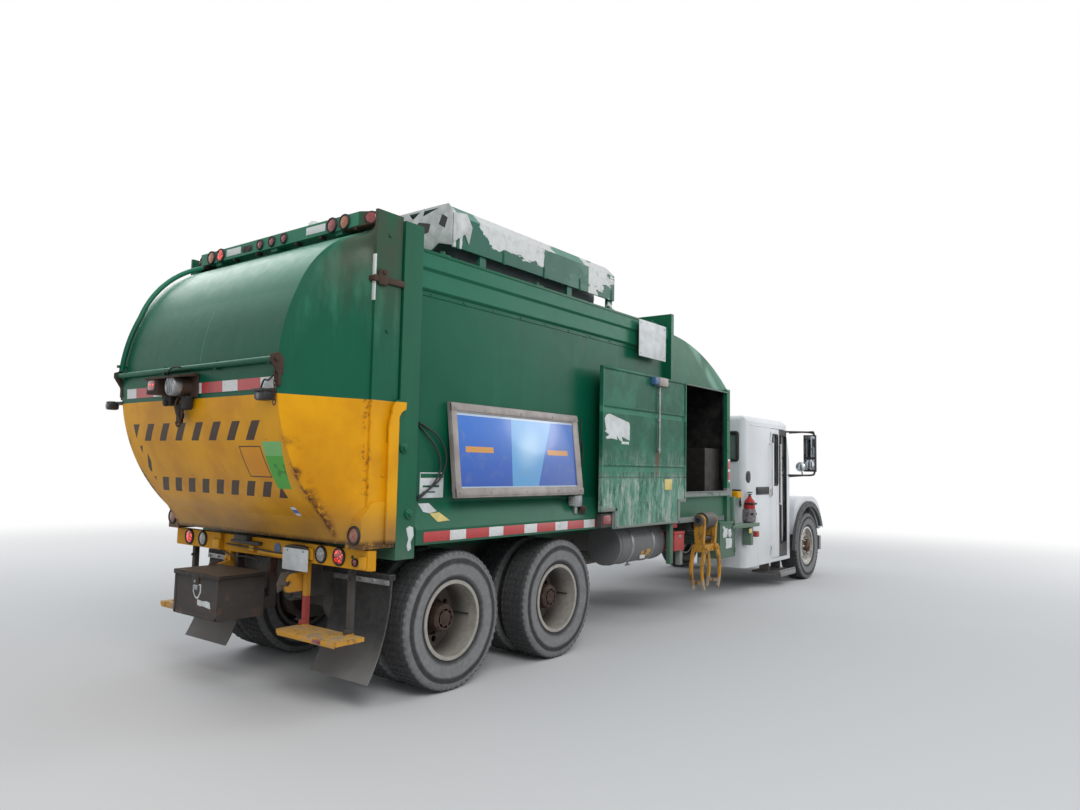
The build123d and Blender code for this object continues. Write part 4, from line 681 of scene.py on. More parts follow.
orange_label = plain_finish("orange_label", (0.68, 0.55, 0.18), 0.5, 0, 0.2)
blue_label = plain_finish("blue_label", (0.05, 0.13, 0.3), 0.4, 0, 0.3)
gasket = plain_finish("gasket", (0.012, 0.012, 0.013), 0.6)
torn_skin = plain_finish("torn_skin", (0.62, 0.63, 0.62), 0.45, 0, 0.4, scale=7)
bag_vinyl = plain_finish("bag_vinyl", (0.32, 0.28, 0.3), 0.35, 0, 0.7, scale=22)
reflector = plain_finish("reflector", (0.7, 0.71, 0.7), 0.25, 0.0, 0.12, scale=40, soft_edges=False)


def glass_finish(name, tint):
    glass = Finish(name, tint, **{"Roughness": 0.04, "IOR": 1.45, "Specular IOR Level": 0.7,
                                  "Coat Weight": 0.6, "Coat Roughness": 0.03})
    glass.coat(glass.noise(5, 5).ease(0.4, 0.8) * 0.25, DUST)
    return glass.done()


def lamp_row(name, zones):
    "One lens material for a row of lamps; each zone is a mask, its tint and whether it is lit."
    lamp = Finish(name, (0.4, 0.01, 0.016), **{"Roughness": 0.14, "Specular IOR Level": 0.5,
                                               "Coat Weight": 0.5, "Coat Roughness": 0.05,
                                               "Emission Strength": 1.9})
    facets = lamp.cells(70)
    dirt = lamp.noise(18, 4)
    glow = UNLIT
    for mask, tint, lit in zones(lamp):
        lamp.coat(mask, tint)
        glow = lamp.blend(mask, glow, (0.9, 0.05, 0.02) if lit else UNLIT)
    lamp.coat(facets.ease(0.15, 0.6) * 0.55, (0.06, 0.02, 0.015))
    lamp.coat(dirt.ease(0.5, 0.8) * 0.3, DUST)
    lamp.feed(lamp.shader.inputs["Emission Color"], lamp.blend(facets.ease(0.22, 0.5), glow, UNLIT))
    return lamp.done(None, facets, 0.35)


def gate_lamp_zones(lamp):
    bar = lamp.z.over(3.3)
    return ((bar * abs(lamp.y).over(0.82), (0.58, 0.17, 0.03), False),
            (bar * lamp.box(y=(0.67, 0.8)), (0.75, 0.03, 0.02), True),
            (lamp.z.under(1.4), (0.4, 0.11, 0.05), False))


def tail_lamp_zones(lamp):
    return ((abs(lamp.y).under(0.88), (0.42, 0.43, 0.41), False),
            (abs(lamp.y).over(0.88) * abs(lamp.y).under(1.09), (0.75, 0.025, 0.02), True))


def lens_finish(name, tint, glow=0.0):
    "Ribbed coloured lens, lit from inside where glow is over 0."
    lens = Finish(name, tint, **{"Roughness": 0.12, "Specular IOR Level": 0.6, "Coat Weight": 0.7,
                                 "Coat Roughness": 0.05, "Emission Strength": glow})
    facets = lens.cells(95)
    lens.coat(facets.ease(0.1, 0.55), darker(tint, 0.45))
    lens.coat(lens.noise(18, 4).ease(0.5, 0.8) * 0.3, DUST)
    if glow:
        lens.feed(lens.shader.inputs["Emission Color"],
                  lens.blend(facets.ease(0.25, 0.5), tint, darker(tint, 0.12)))
    return lens.done(None, facets, 0.35)


window_glass = glass_finish("window_glass", (0.022, 0.027, 0.028))
corner_glass = glass_finish("corner_glass", (0.12, 0.15, 0.14))
red_lens = lens_finish("red_lens", (0.42, 0.01, 0.018))
lit_red = lens_finish("lit_red", (0.95, 0.045, 0.02), 1.6)
gate_lamp_lens = lamp_row("gate_lamp_lens", gate_lamp_zones)
tail_lamp_lens = lamp_row("tail_lamp_lens", tail_lamp_zones)
amber_lens = lens_finish("amber_lens", (0.62, 0.16, 0.02))
clear_lens = lens_finish("clear_lens", (0.56, 0.57, 0.55))


def tape_finish(name, axis, edges):
    "White and red reflective tape, changing colour at each edge along an axis."
    tape = Finish(name, WHITE_TAPE, **{"Specular IOR Level": 0.6, "Coat Weight": 0.4, "Coat Roughness": 0.15})
    mask = None
    for edge in edges:
        step = getattr(tape, axis).over(edge)
        mask = step if mask is None else abs(mask - step)
    dirt = tape.noise(9, 6, rough=0.7)
    tape.coat(mask, RED_TAPE)
    tape.coat(tape.cells(140).ease(0.25, 0.7) * 0.22, (0.2, 0.12, 0.11))
    tape.coat(dirt.ease(0.5, 0.75) * 0.45, (0.16, 0.13, 0.11))
    return tape.done(0.28 + 0.3 * dirt)


band_tape = tape_finish("band_tape", "y", (-0.866, -0.601, -0.416, -0.15, 0.035, 0.3, 0.536, 0.8))
post_tape = tape_finish("post_tape", "z", (1.575, 1.68, 1.71, 1.815))
ledge_tape = tape_finish("ledge_tape", "x", (-1.09, -0.812, -0.636, -0.366, -0.19, 0.085, 0.26, 0.528, 0.713,
                                             0.977, 1.16, 1.43, 1.61, 1.88, 2.06, 2.33, 2.51))


def tyre_finish(name, axle_x):
    "Dusty rubber: grey worn bands on the sidewall and a dark shoulder line."
    rubber = Finish(name, **{"Specular IOR Level": 0.3})
    radius = rubber.length(rubber.x - axle_x, rubber.z - TYRE_RADIUS)
    fine = rubber.noise(26, 6, rough=0.7)
    cloud = rubber.noise(4, 4, shift=(2, 2, 2))
    band = (radius + 0.018 * cloud).ease(0.325, 0.36) * (radius + 0.03 * cloud).ease(0.45, 0.425)
    outer = (radius + 0.02 * cloud).ease(0.468, 0.482) * radius.ease(0.519, 0.509)
    dust = (band * (0.35 + 0.75 * fine) + outer * (0.25 + 0.9 * fine) * 0.9).smallest(0.95)
    rubber.tint = rubber.blend(fine.ease(0.3, 0.7), (0.03, 0.03, 0.032), (0.055, 0.054, 0.055))
    rubber.coat(dust, (0.25, 0.25, 0.25))
    rubber.coat(radius.ease(0.5, 0.51) * (0.3 + 0.5 * fine) * 0.35, (0.12, 0.12, 0.12))
    return rubber.done(0.75 + 0.2 * fine, fine, 0.4)


def rim_finish(name, axle_x, face, hub, hub_radius, depth, metallic=0.0, rough=0.45):
    """Painted or polished rim with a rusty hub, and painted shade deeper in its dish."""
    rim = Finish(name, face, Metallic=metallic)
    radius = rim.length(rim.x - axle_x, rim.z - TYRE_RADIUS)
    fine = rim.noise(20, 6, rough=0.65)
    cloud = rim.noise(5, 4)
    rim.coat(fine.ease(0.35, 0.75) * 0.6, darker(face, 0.6))
    # Painted shade: darker deeper inside the wheel's dish.
    rim.coat(abs(rim.y).ease(*depth) * 0.85, (0.075, 0.062, 0.052))
    rim.coat((cloud.ease(0.48, 0.62) * radius.ease(0.28, 0.2)).smallest(0.7), (0.16, 0.11, 0.075))
    centre = (radius + 0.02 * cloud).ease(hub_radius + 0.03, hub_radius)
    rim.coat(centre, rim.blend(fine.ease(0.4, 0.6), hub, RUST_DARK))
    return rim.done((rough + 0.3 * fine + 0.2 * centre).smallest(0.95), fine, 0.2, 0.002, rim.edges(0.005)[1])


def flap_finish(name):
    "Dusty mud flap with pale rubbed edges."
    flap = Finish(name, **{"Specular IOR Level": 0.3})
    fine = flap.noise(18, 6, rough=0.7)
    cloud = flap.noise(2.5, 4)
    edge, soft_normal = flap.edges(0.008)
    dusty = (flap.z.ease(0.55, 0.2) * (0.4 + 0.8 * cloud) + edge * 0.8).smallest(0.9)
    flap.tint = flap.blend(fine.ease(0.35, 0.65), (0.026, 0.026, 0.027), (0.045, 0.044, 0.043))
    flap.coat(dusty, (0.22, 0.215, 0.205))
    return flap.done(0.7 + 0.25 * fine, fine + cloud * 2, 0.3, 0.003, soft_normal)


def board_finish(name):
    "Blank display: blue field with a pale panel and two plain bars."
    board = Finish(name, **{"Coat Weight": 0.5, "Coat Roughness": 0.12})
    fine = board.noise(10, 4)
    board.tint = board.blend(board.z.ease(1.5, 2.1), (0.012, 0.085, 0.42), (0.02, 0.15, 0.56))
    middle = board.x - 0.05 - (board.z - 1.5) * 0.25
    board.coat((abs(middle) - (board.z - 1.5) * 0.18).under(0.17) * 0.75, (0.13, 0.42, 0.72))
    board.coat(board.length(middle, board.z - 1.85).ease(0.24, 0.02) * 0.55, (0.45, 0.68, 0.86))
    for span in ((-0.66, -0.33), (0.4, 0.7)):
        board.coat(board.box(x=span, z=(1.8, 1.845)), (0.62, 0.28, 0.05))
    board.coat(1 - board.box(x=(-0.735, 0.835), z=(1.535, 2.085)), (0.45, 0.55, 0.66))
    board.coat(fine.ease(0.5, 0.8) * 0.2, DUST)
    return board.done(0.25 + 0.2 * fine)


tyre_finishes = {name: tyre_finish("tyre_" + name, x)
                 for name, x in {**AXLE_XS, "front": FRONT_AXLE_X}.items()}
rim_finishes = {name: rim_finish("rim_" + name, x, (0.36, 0.335, 0.295), (0.06, 0.034, 0.026), 0.16,
                                 (1.16, 0.96)) for name, x in AXLE_XS.items()}
rim_finishes["front"] = rim_finish("rim_front", FRONT_AXLE_X, (0.62, 0.6, 0.57), (0.15, 0.075, 0.04), 0.105,
                                   (1.08, 1.0), 0.85, 0.22)
flap_rubber = flap_finish("flap_rubber")
board_print = board_finish("board_print")

dress(frame_paint, "frame_rails", "suspension", "arm_track", "arm_boom", "cab_floor")
dress(axle_iron, "axles", "drivetrain", "knuckle_left", "knuckle_right")
dress(tank_paint, "side_tanks", "roof_tanks")
dress(green_paint, "body_shell")
dress(post_paint, "rear_frame", "valve_box")
dress(gate_paint, "tailgate_shell", "tailgate_rod")
dress(guard_paint, "guard_panel")
dress(cover_paint, "tank_cover")
dress(hopper_paint, "hopper_shell")
dress(ram_steel, "packer_ram")
dress(board_frame, "side_sign")
dress(step_paint, "rear_bumper")
dress(box_paint, "toolbox", "toolbox_lid")
dress(rusty_iron, "work_lamp")
dress(arm_paint, "lift_arm", "finger_rear", "finger_front")
dress(cab_paint, "cab_shell", "door_left", "leaf_rear", "hood")
dress(black_trim, "leaf_front", "mirrors")
dress(cab_inside, "cab_interior")
dress(corner_glass, "cab_glass")
dress(window_glass, "door_left_glass", "leaf_rear_glass", "leaf_front_glass")
dress(alloy, "grille")
dress(clear_lens, "headlamps")
dress(galvanised, "front_bumper")
dress(fender_trim, "fender_flares")
dress(flap_rubber, "mud_flaps")
dress(gate_lamp_lens, "gate_lamps")
dress(tail_lamp_lens, "tail_lamps")
for axle in ("rear", "middle"):
    dress(rim_finishes[axle], axle + "_rims_left", axle + "_rims_right")
dress(rim_finishes["front"], "front_rim_left", "front_rim_right")

form = Form()
SIDES = (("left", 1), ("right", -1))
AHEAD, BACK, LEFT, UP = (1, 0, 0), (-1, 0, 0), (0, 1, 0), (0, 0, 1)


# Wheels
def tyre(x, y, width, ribs, steps=112):
    "A tyre with grooved tread, raised shoulder lugs and moulded sidewall rings."
    half = width / 2
    sidewall = [(0.288, 0.72), (0.3, 0.76), (0.318, 0.8), (0.335, 0.9), (0.35, 0.945), (0.356, 0.935),
                (0.372, 0.965), (0.4, 0.99), (0.43, 0.995), (0.452, 0.985), (0.457, 0.965), (0.466, 0.968),
                (0.49, 0.93), (0.505, 0.88)]
    profile = [(radius, -share) for radius, share in sidewall]
    profile += [(0.516, -0.8), (0.5185, -0.74), (0.506, -0.72)]
    for number in range(ribs):
        start, end = [-0.7 + 1.4 * edge / ribs for edge in (number, number + 1)]
        profile += [(0.5185, start + 0.03), (0.5185, end - 0.03), (0.506, end - 0.02), (0.506, end + 0.02)]
    profile[-1:] = [(0.5185, 0.74), (0.516, 0.8)] + sidewall[::-1]
    centre = (x, y, TYRE_RADIUS)
    lugs = []
    for face in form.ring([(radius, share * half) for radius, share in profile], centre, LEFT, steps,
                          closed=True):
        spot = face.calc_center_median() - Vector(centre)
        radius = math.hypot(spot.x, spot.z)
        step = int((math.atan2(spot.z, spot.x) % math.tau) / math.tau * steps)
        shoulder = abs(spot.y) > half * 0.76 and radius > 0.485
        if step % 2 == 0 and (shoulder or radius > 0.5165):
            lugs.append(face)
    bmesh.ops.inset_individual(form.mesh, faces=lugs, thickness=0.0015, depth=0.0055)
    form.fresh(0)


def studs(x, seat, sign, *sizes):
    "Ten nuts and studs round a hub; each size is a radius, a height and a number of sides."
    for px, pz in circle(x, TYRE_RADIUS, STUD_CIRCLE, 10):
        for radius, height, sides in sizes:
            form.rod((px, sign * seat, pz), (px, sign * (seat + height), pz), radius, sides)


def wheel_tyres():
    for side, sign in SIDES:
        for axle, x in AXLE_XS.items():
            for offset in (-DUAL_HALF, DUAL_HALF):
                tyre(x, sign * (DUAL_Y + offset), REAR_TYRE, 4)
            form.made(axle + "_tyre_pair_" + side, "tyre", tyre_finishes[axle], body=axle + "_wheels_" + side,
                      replaces=(axle + "_tyres_" + side,), smooth=50)
        tyre(FRONT_AXLE_X, sign * FRONT_WHEEL_Y, FRONT_TYRE, 5)
        form.made("front_road_tyre_" + side, "tyre", tyre_finishes["front"], body="front_wheel_" + side,
                  replaces=("front_tyre_" + side,), smooth=50)


def wheel_fittings():
    "Nuts and studs round each hub, the valve stem and the hub cap."
    for side, sign in SIDES:
        out = (0, sign, 0)
        for axle, x in AXLE_XS.items():
            studs(x, DUAL_Y + 0.008, sign, (0.02, 0.032, 6), (0.011, 0.058, 10))
            form.rod((x + 0.255, sign * (DUAL_Y + 0.03), TYRE_RADIUS),
                     (x + 0.262, sign * (DUAL_Y + 0.2), TYRE_RADIUS), 0.005, 8, 1)
            hub = sign * (DUAL_Y + 0.205)
            form.ring([(0, 0.01), (0.04, 0.008), (0.058, 0), (0.072, 0), (0.074, -0.01)],
                      (x, hub, TYRE_RADIUS), out, 24)
            form.bolts([(px, hub - sign * 0.004, pz) for px, pz in circle(x, TYRE_RADIUS, 0.062, 8, 0.5)],
                       out, 0.008, 0.01)
            form.made(axle + "_hub_fittings_" + side, "rear_rim", rim_finishes[axle], hose_rubber,
                      body=axle + "_wheels_" + side)
        studs(FRONT_AXLE_X, FRONT_WHEEL_Y + 0.09, sign, (0.019, 0.028, 6), (0.01, 0.046, 10))
        form.ring([(0, 0.014), (0.045, 0.011), (0.07, 0), (0.088, -0.004), (0.092, -0.02)],
                  (FRONT_AXLE_X, sign * (FRONT_WHEEL_Y + 0.145), TYRE_RADIUS), out, 28)
        form.made("front_hub_fittings_" + side, "front_rim", rim_finishes["front"],
                  body="front_wheel_" + side)


# Tailgate
def grommet(x, y, z, radius, width=0.012):
    "A rubber ring round a lamp that faces back."
    form.ring([(radius + width, -0.004), (radius + width, 0.007), (radius + width * 0.6, 0.014),
               (radius + 0.001, 0.014), (radius - 0.002, 0.0084), (radius - 0.002, -0.004)], (x, y, z), BACK,
              36)


def tailgate_band():
    form.side([(sheet_x(z) + step, z) for z, step in ((2.166, -0.0035), (2.24, -0.0035), (2.24, 0.003),
                                                      (2.166, 0.003))], -1.03, 0.95)
    form.made("gate_band", "yellow", band_tape, body="tailgate")


def light_bar_fittings():
    "Lamp grommets, blank reflectors, cable slot, corner markers and the beacon dome."
    for y, radius in ((-0.89, 0.047), (-0.746, 0.047), (-0.16, 0.031), (0, 0.031), (0.16, 0.031),
                      (0.736, 0.047), (0.88, 0.047)):
        grommet(BAR_X, y, 3.425, radius)
    for sign in (-1, 1):
        grommet(HOUSING_X, sign * 1.185, 1.215, 0.05, 0.014)
        spot, out = Vector((-1.553, sign * 1.125, 3.425)), Vector((-0.848, sign * 0.53, 0))
        form.rod(spot - out * 0.02, spot + out * 0.008, 0.052, 28, 0, 0.003)
        form.rod(spot, spot + out * 0.02, 0.04, 28, 1, 0.008)
    face = BAR_X + 0.002
    form.across(rounded(0.27, 0.42, 3.395, 3.447, 0.02), BAR_X - 0.002, face, 2)
    form.slab(BAR_X - 0.006, face, 0.36, 0.405, 3.405, 3.44, 0.004)
    form.slab(BAR_X - 0.008, face, 0.29, 0.325, 3.4, 3.428, 0.004, 4)
    for y0, y1 in ((-0.668, -0.44), (0.44, 0.648)):
        form.slab(BAR_X - 0.004, face, y0, y1, 3.398, 3.456, 0.002, 3)
    form.ring([(0, 0.052), (0.028, 0.046), (0.046, 0.028), (0.052, 0), (0.052, -0.01)], (-1.52, -0.42, 3.485),
              UP, 28, 3)
    form.rod((-1.52, -0.42, 3.468), (-1.52, -0.42, 3.483), 0.058, 28, 4, 0.003)
    form.made("light_bar_fittings", "trim", gasket, red_lens, frame_paint, reflector, rusty_iron,
              body="tailgate")
    for y in (-1.0, -0.6, -0.3, 0.22, 0.55, 1.0):
        form.slab(BAR_X + 0.004, BAR_X + 0.06, y - 0.012, y + 0.012, 3.353, 3.377, 0.004)
    for y0, y1 in ((-1.19, -0.86), (0.95, 1.19)):
        form.slab(-1.598, -1.5, y0, y1, 3.366, 3.374)
    form.made("light_bar_rust", "frame_black", rusty_iron, body="tailgate")


def work_lamp_fittings():
    "Lit square lamp, sealed round lamp with its guard bars, cables and the hook below."
    form.across(rounded(0.208, 0.342, 2.173, 2.282, 0.028), -2.338, -2.344, 1, 0.002)
    form.across(rounded(0.226, 0.324, 2.192, 2.262, 0.02), -2.343, -2.348, 0, 0.002)
    for y in (0.245, 0.275, 0.305):
        form.ring([(0, 0.002), (0.009, 0.0012), (0.012, 0)], (-2.3478, y, 2.228), BACK, 14, 2)
    form.made("square_lamp_glass", "lens", red_lens, dark_iron, lit_red, body="tailgate")
    centre = (-2.334, 0.02, 2.215)
    form.ring([(0.067, -0.05), (0.07, 0), (0.066, 0.008), (0.06, 0.008), (0.058, 0.002)], centre, BACK, 36, 1)
    form.ring([(0, 0.008), (0.025, 0.0075), (0.045, 0.0055), (0.06, 0.001)], centre, BACK, 36)
    for y in (-0.004, 0.02, 0.044):
        form.slab(-2.3475, -2.339, y - 0.003, y + 0.003, 2.163, 2.267, 0.001, 1)
    form.made("round_lamp_glass", "lens", clear_lens, galvanised, body="tailgate")
    form.slabs(((-2.275, -2.205, 0.13, 0.24, 2.085, 2.15, 0.012),
                (-2.262, -2.2, -0.06, 0.02, 2.05, 2.15, 0.016),
                (-2.235, -2.198, 0.07, 0.12, 1.955, 2.1, 0.01),
                (-2.245, -2.2, 0.055, 0.1, 1.99, 2.03, 0.008)))
    form.rod((-2.24, 0.185, 2.11), (-2.292, 0.185, 2.1), 0.024, soft=0.004)
    form.made("lamp_cable_box", "trim", dark_iron, body="tailgate")
    lines("lamp_hook", rusty_iron, 0.008, [
        [(-2.26, 0.045, 2.14), (-2.27, 0.075, 2.1), (-2.265, 0.055, 2.03), (-2.26, 0.03, 1.99),
         (-2.26, 0, 1.945), (-2.26, 0.045, 1.925), (-2.26, 0.06, 1.965)],
        [(-2.24, -0.02, 2.13), (-2.25, 0.02, 2.08), (-2.25, 0, 2.02), (-2.245, 0.035, 1.97)]], "tailgate")
    lines("lamp_wires", hose_rubber, 0.006, [
        [(-2.3, 0.14, 2.3), (-2.32, 0.1, 2.34), (-2.25, 0.06, 2.37), (-2.21, 0.05, 2.33)],
        [(-2.21, -1.035, 2.27), (-2.225, -1, 2.2), (-2.225, -0.93, 2.235), (-2.22, -0.9, 2.15)],
        [(-2.215, 1.06, 2.33), (-2.19, 1.09, 2.27), (-2.17, 1.12, 2.2), (-2.15, 1.15, 2.17)]], "tailgate")


def gate_camera_boxes():
    form.slabs(((-2.275, -2.19, -1.02, -0.905, 2.085, 2.155, 0.018),
                (-2.29, -2.2, -1.025, -0.9, 2.14, 2.158, 0.005),
                (-2.2, -2.15, 1.03, 1.16, 2.125, 2.15, 0.004),
                (-2.25, -2.165, 1.14, 1.21, 2.085, 2.155, 0.016)))
    for x, y in ((-2.275, -0.962), (-2.25, 1.175)):
        form.ring([(0, 0.006), (0.018, 0.004), (0.022, 0), (0.026, -0.002)], (x, y, 2.115), BACK, 20, 1)
    form.made("gate_camera_boxes", "trim", black_trim, window_glass, body="tailgate")
    form.side([(-2.262, 2.335), (-2.262, 2.372), (-2.205, 2.395), (-2.165, 2.36), (-2.165, 2.26),
               (-2.205, 2.25)], 1.048, 1.062, 0, 0.002)
    form.bolts([(-2.226, 1.058, 2.35)], LEFT, 0.017, 0.02)
    form.slab(-2.206, -2.18, 1.03, 1.064, 2.18, 2.28)
    form.mirrored()
    form.made("rod_end_plates", "frame_black", rusty_iron, body="tailgate")
    links = []
    for number in range(9):
        z = 2.325 - 0.03 * number
        deep, wide = (0.001, 0.01) if number % 2 else (0.01, 0.001)
        links.append([(-2.218 + side * deep, -1.052 + side * wide, z + rise) for side, rise in (
            (-1, 0.006), (-1, -0.026), (0, -0.034), (1, -0.026), (1, 0.006), (0, 0.014), (-1, 0.006))])
    lines("rod_chain", rusty_iron, 0.0035, links, "tailgate")


def tailgate_sides():
    "Reflector strip, latch bar, bolts and hooks on the tailgate's side plates."
    form.slab(-1.598, -1.588, 1.207, 1.237, 2.82, 3.144, 0.002)
    form.slabs(((-1.612, -1.335, 1.232, 1.254, 2.95, 2.995, 0.004),
                (-1.575, -1.5, 1.238, 1.262, 2.93, 3.04, 0.008),
                (-1.62, -1.585, 1.19, 1.25, 2.955, 2.99, 0.004)), 1)
    form.bolts([(-1.537, 1.25, 3.02)], LEFT, 0.016, 0.025, 1)
    form.bolts([(-1.47, 1.232, z) for z in (1.27, 1.62, 2.62, 3.3)], LEFT, 0.014, 0.011, 2)
    form.mirrored()
    form.made("gate_side_fittings", "green", reflector, rusty_iron, gate_paint, body="tailgate")


# Rear beam, step, box and flaps
def rear_beam_fittings():
    "Grommets, blank number plate, round sticker, plugs and worn clips on the rear beam."
    for y, z, radius in ((-0.745, 1.048, 0.05), (-0.945, 1.05, 0.052), (0.822, 1.048, 0.05),
                         (1.032, 1.05, 0.052)):
        grommet(LAMP_PLATE_X, y, z, radius, 0.014)
    grommet(LAMP_PLATE_X, -1.118, 1.024, 0.022, 0.008)
    form.rod((-1.577, -1.085, 1.058), (-1.574, -1.085, 1.058), 0.013, 16)
    form.made("beam_lamp_grommets", "trim", gasket)
    form.across(rounded(-0.645, -0.34, 0.915, 1.072, 0.012), -1.612, -1.6095, 0, 0.0006)
    form.bolts([(-1.615, y, 1.055) for y in (-0.4, -0.585)], AHEAD, 0.008, 0.007, 2)
    form.slabs(((-1.61, -1.54, -0.6, -0.38, 1.075, 1.09, 0.003),
                (-1.61, -1.6, -0.62, -0.36, 0.93, 1.085, 0.003)), 1)
    form.rod((-1.549, -0.18, 1.045), (-1.545, -0.18, 1.045), 0.04, 28, 3)
    form.made("number_plate_blank", "bare_metal", white_label, dark_iron, galvanised, blue_label)
    form.slabs(((-1.585, -1.54, 0.02, 0.4, 1.05, 1.075, 0.006),
                (-1.6, -1.54, 0.16, 0.34, 1.075, 1.125, 0.012)))
    form.slabs(((-1.562, -1.54, -0.33, 0.06, 0.985, 1.02, 0.004), (-1.575, -1.54, 0.1, 0.16, 1, 1.04, 0.006),
                (-1.59, -1.574, -1.235, -1.165, 0.985, 1.07, 0.006),
                (-1.59, -1.574, 0.56, 0.66, 0.985, 1.06, 0.006),
                (-1.59, -1.574, -0.665, -0.57, 1, 1.085, 0.006)), 1)
    form.made("beam_clips", "yellow", dark_iron, yellow_paint)
    lines("beam_wires", hose_rubber, 0.006, [
        [(-1.555, 0.5, 1.03), (-1.572, 0.3, 1.028), (-1.57, 0, 1.022), (-1.565, -0.22, 1.012),
         (-1.56, -0.36, 1.02)],
        [(-1.55, 0.56, 0.97), (-1.56, 0.4, 0.93), (-1.56, 0.2, 0.96), (-1.55, 0.05, 0.93)]])


def step_fittings():
    "Grip holes in the rear steps, their front lips and worn brackets."
    form.slabs(((-1.741, -1.73, 0.5, 1.13, 0.478, 0.516, 0.003), (-1.56, -1.52, 0.5, 0.545, 0.5, 0.56, 0.004),
                (-1.56, -1.52, 1, 1.045, 0.5, 0.56, 0.004)))
    form.bolts([(x, y, z) for x, z in ((-1.56, 0.54), (-1.545, 0.9)) for y in (0.52, 1.02)], BACK, 0.012,
               0.012)
    form.mirrored()
    for y0 in (-1.13, 0.5):
        for row in range(2):
            for number in range(9):
                y = y0 + 0.63 * (number + 0.5 + 0.25 * row) / 9.5
                form.ring([(0.0125, 0), (0.0115, 0.0028), (0.0085, 0.0028), (0.0078, 0)],
                          (-1.675 + 0.1 * row, y, 0.5195), UP, 12)
    form.made("rear_step_grips", "yellow", step_paint)
    for y0, y1 in ((-0.99, -0.9), (0.78, 0.86)):
        form.slab(-1.744, -1.739, y0, y1, 0.486, 0.512, 0.002)
    form.made("step_reflectors", "lens", red_lens)
    form.side([(-1.73, 0.765), (-1.685, 0.8), (-1.635, 0.905), (-1.705, 0.905), (-1.74, 0.83)], 0.462, 0.478,
              0, 0.004)
    form.rod((-1.69, 0.445, 0.83), (-1.69, 0.495, 0.83), 0.022, 16, 0, 0.003)
    form.mirrored()
    form.made("tow_hooks", "frame_black", rusty_iron)


def toolbox_fittings():
    "Lid lip, latch, handle, hinge straps and torn blank stickers."
    form.slab(-2.02, -2.006, -0.19, 0.43, 0.846, 0.872, 0.004)
    form.slab(-2.022, -2.006, 0.075, 0.165, 0.795, 0.862, 0.008)
    form.rod((-2.024, 0.12, 0.818), (-2.018, 0.12, 0.818), 0.011, 16, 1)
    form.made("box_lid_latch", "trim", box_paint, galvanised, body="box_lid")
    form.slab(-2.014, -2.008, -0.175, 0.415, 0.562, 0.585)
    for y in (-0.165, 0.405):
        form.slab(-2.014, -2.008, y - 0.015, y + 0.015, 0.565, 0.845)
    form.slab(-2.02, -2.008, 0.09, 0.15, 0.755, 0.792, 0.005, 1)
    form.made("box_edge_bands", "frame_black", box_paint, galvanised)
    form.across([(0.052, 0.8), (0.152, 0.8), (0.158, 0.745), (0.128, 0.702), (0.102, 0.69), (0.076, 0.702),
                 (0.048, 0.745)], -2.0125, -2.009)
    form.across([(0.064, 0.79), (0.14, 0.79), (0.144, 0.748), (0.121, 0.714), (0.102, 0.704), (0.083, 0.714),
                 (0.061, 0.748)], -2.0135, -2.01, 1)
    form.across([(-0.085, 0.64), (0.02, 0.65), (0.05, 0.645), (0.088, 0.652), (0.09, 0.69), (0.02, 0.684),
                 (-0.03, 0.69), (-0.075, 0.684)], -2.0125, -2.009)
    form.made("box_stickers", "trim", white_label, box_paint)


def flap_fittings():
    "Stiffening bars, bolts and stop brackets over the mud flaps."
    form.slab(-1.325, -1.3, 0.57, 1.17, 0.845, 0.885, 0.004)
    form.bolts([(-1.325, 0.57 + 0.6 * share, 0.865) for share in (0.06, 0.28, 0.5, 0.72, 0.94)], BACK)
    form.mirrored()
    form.made("flap_clamps", "bare_metal", galvanised)


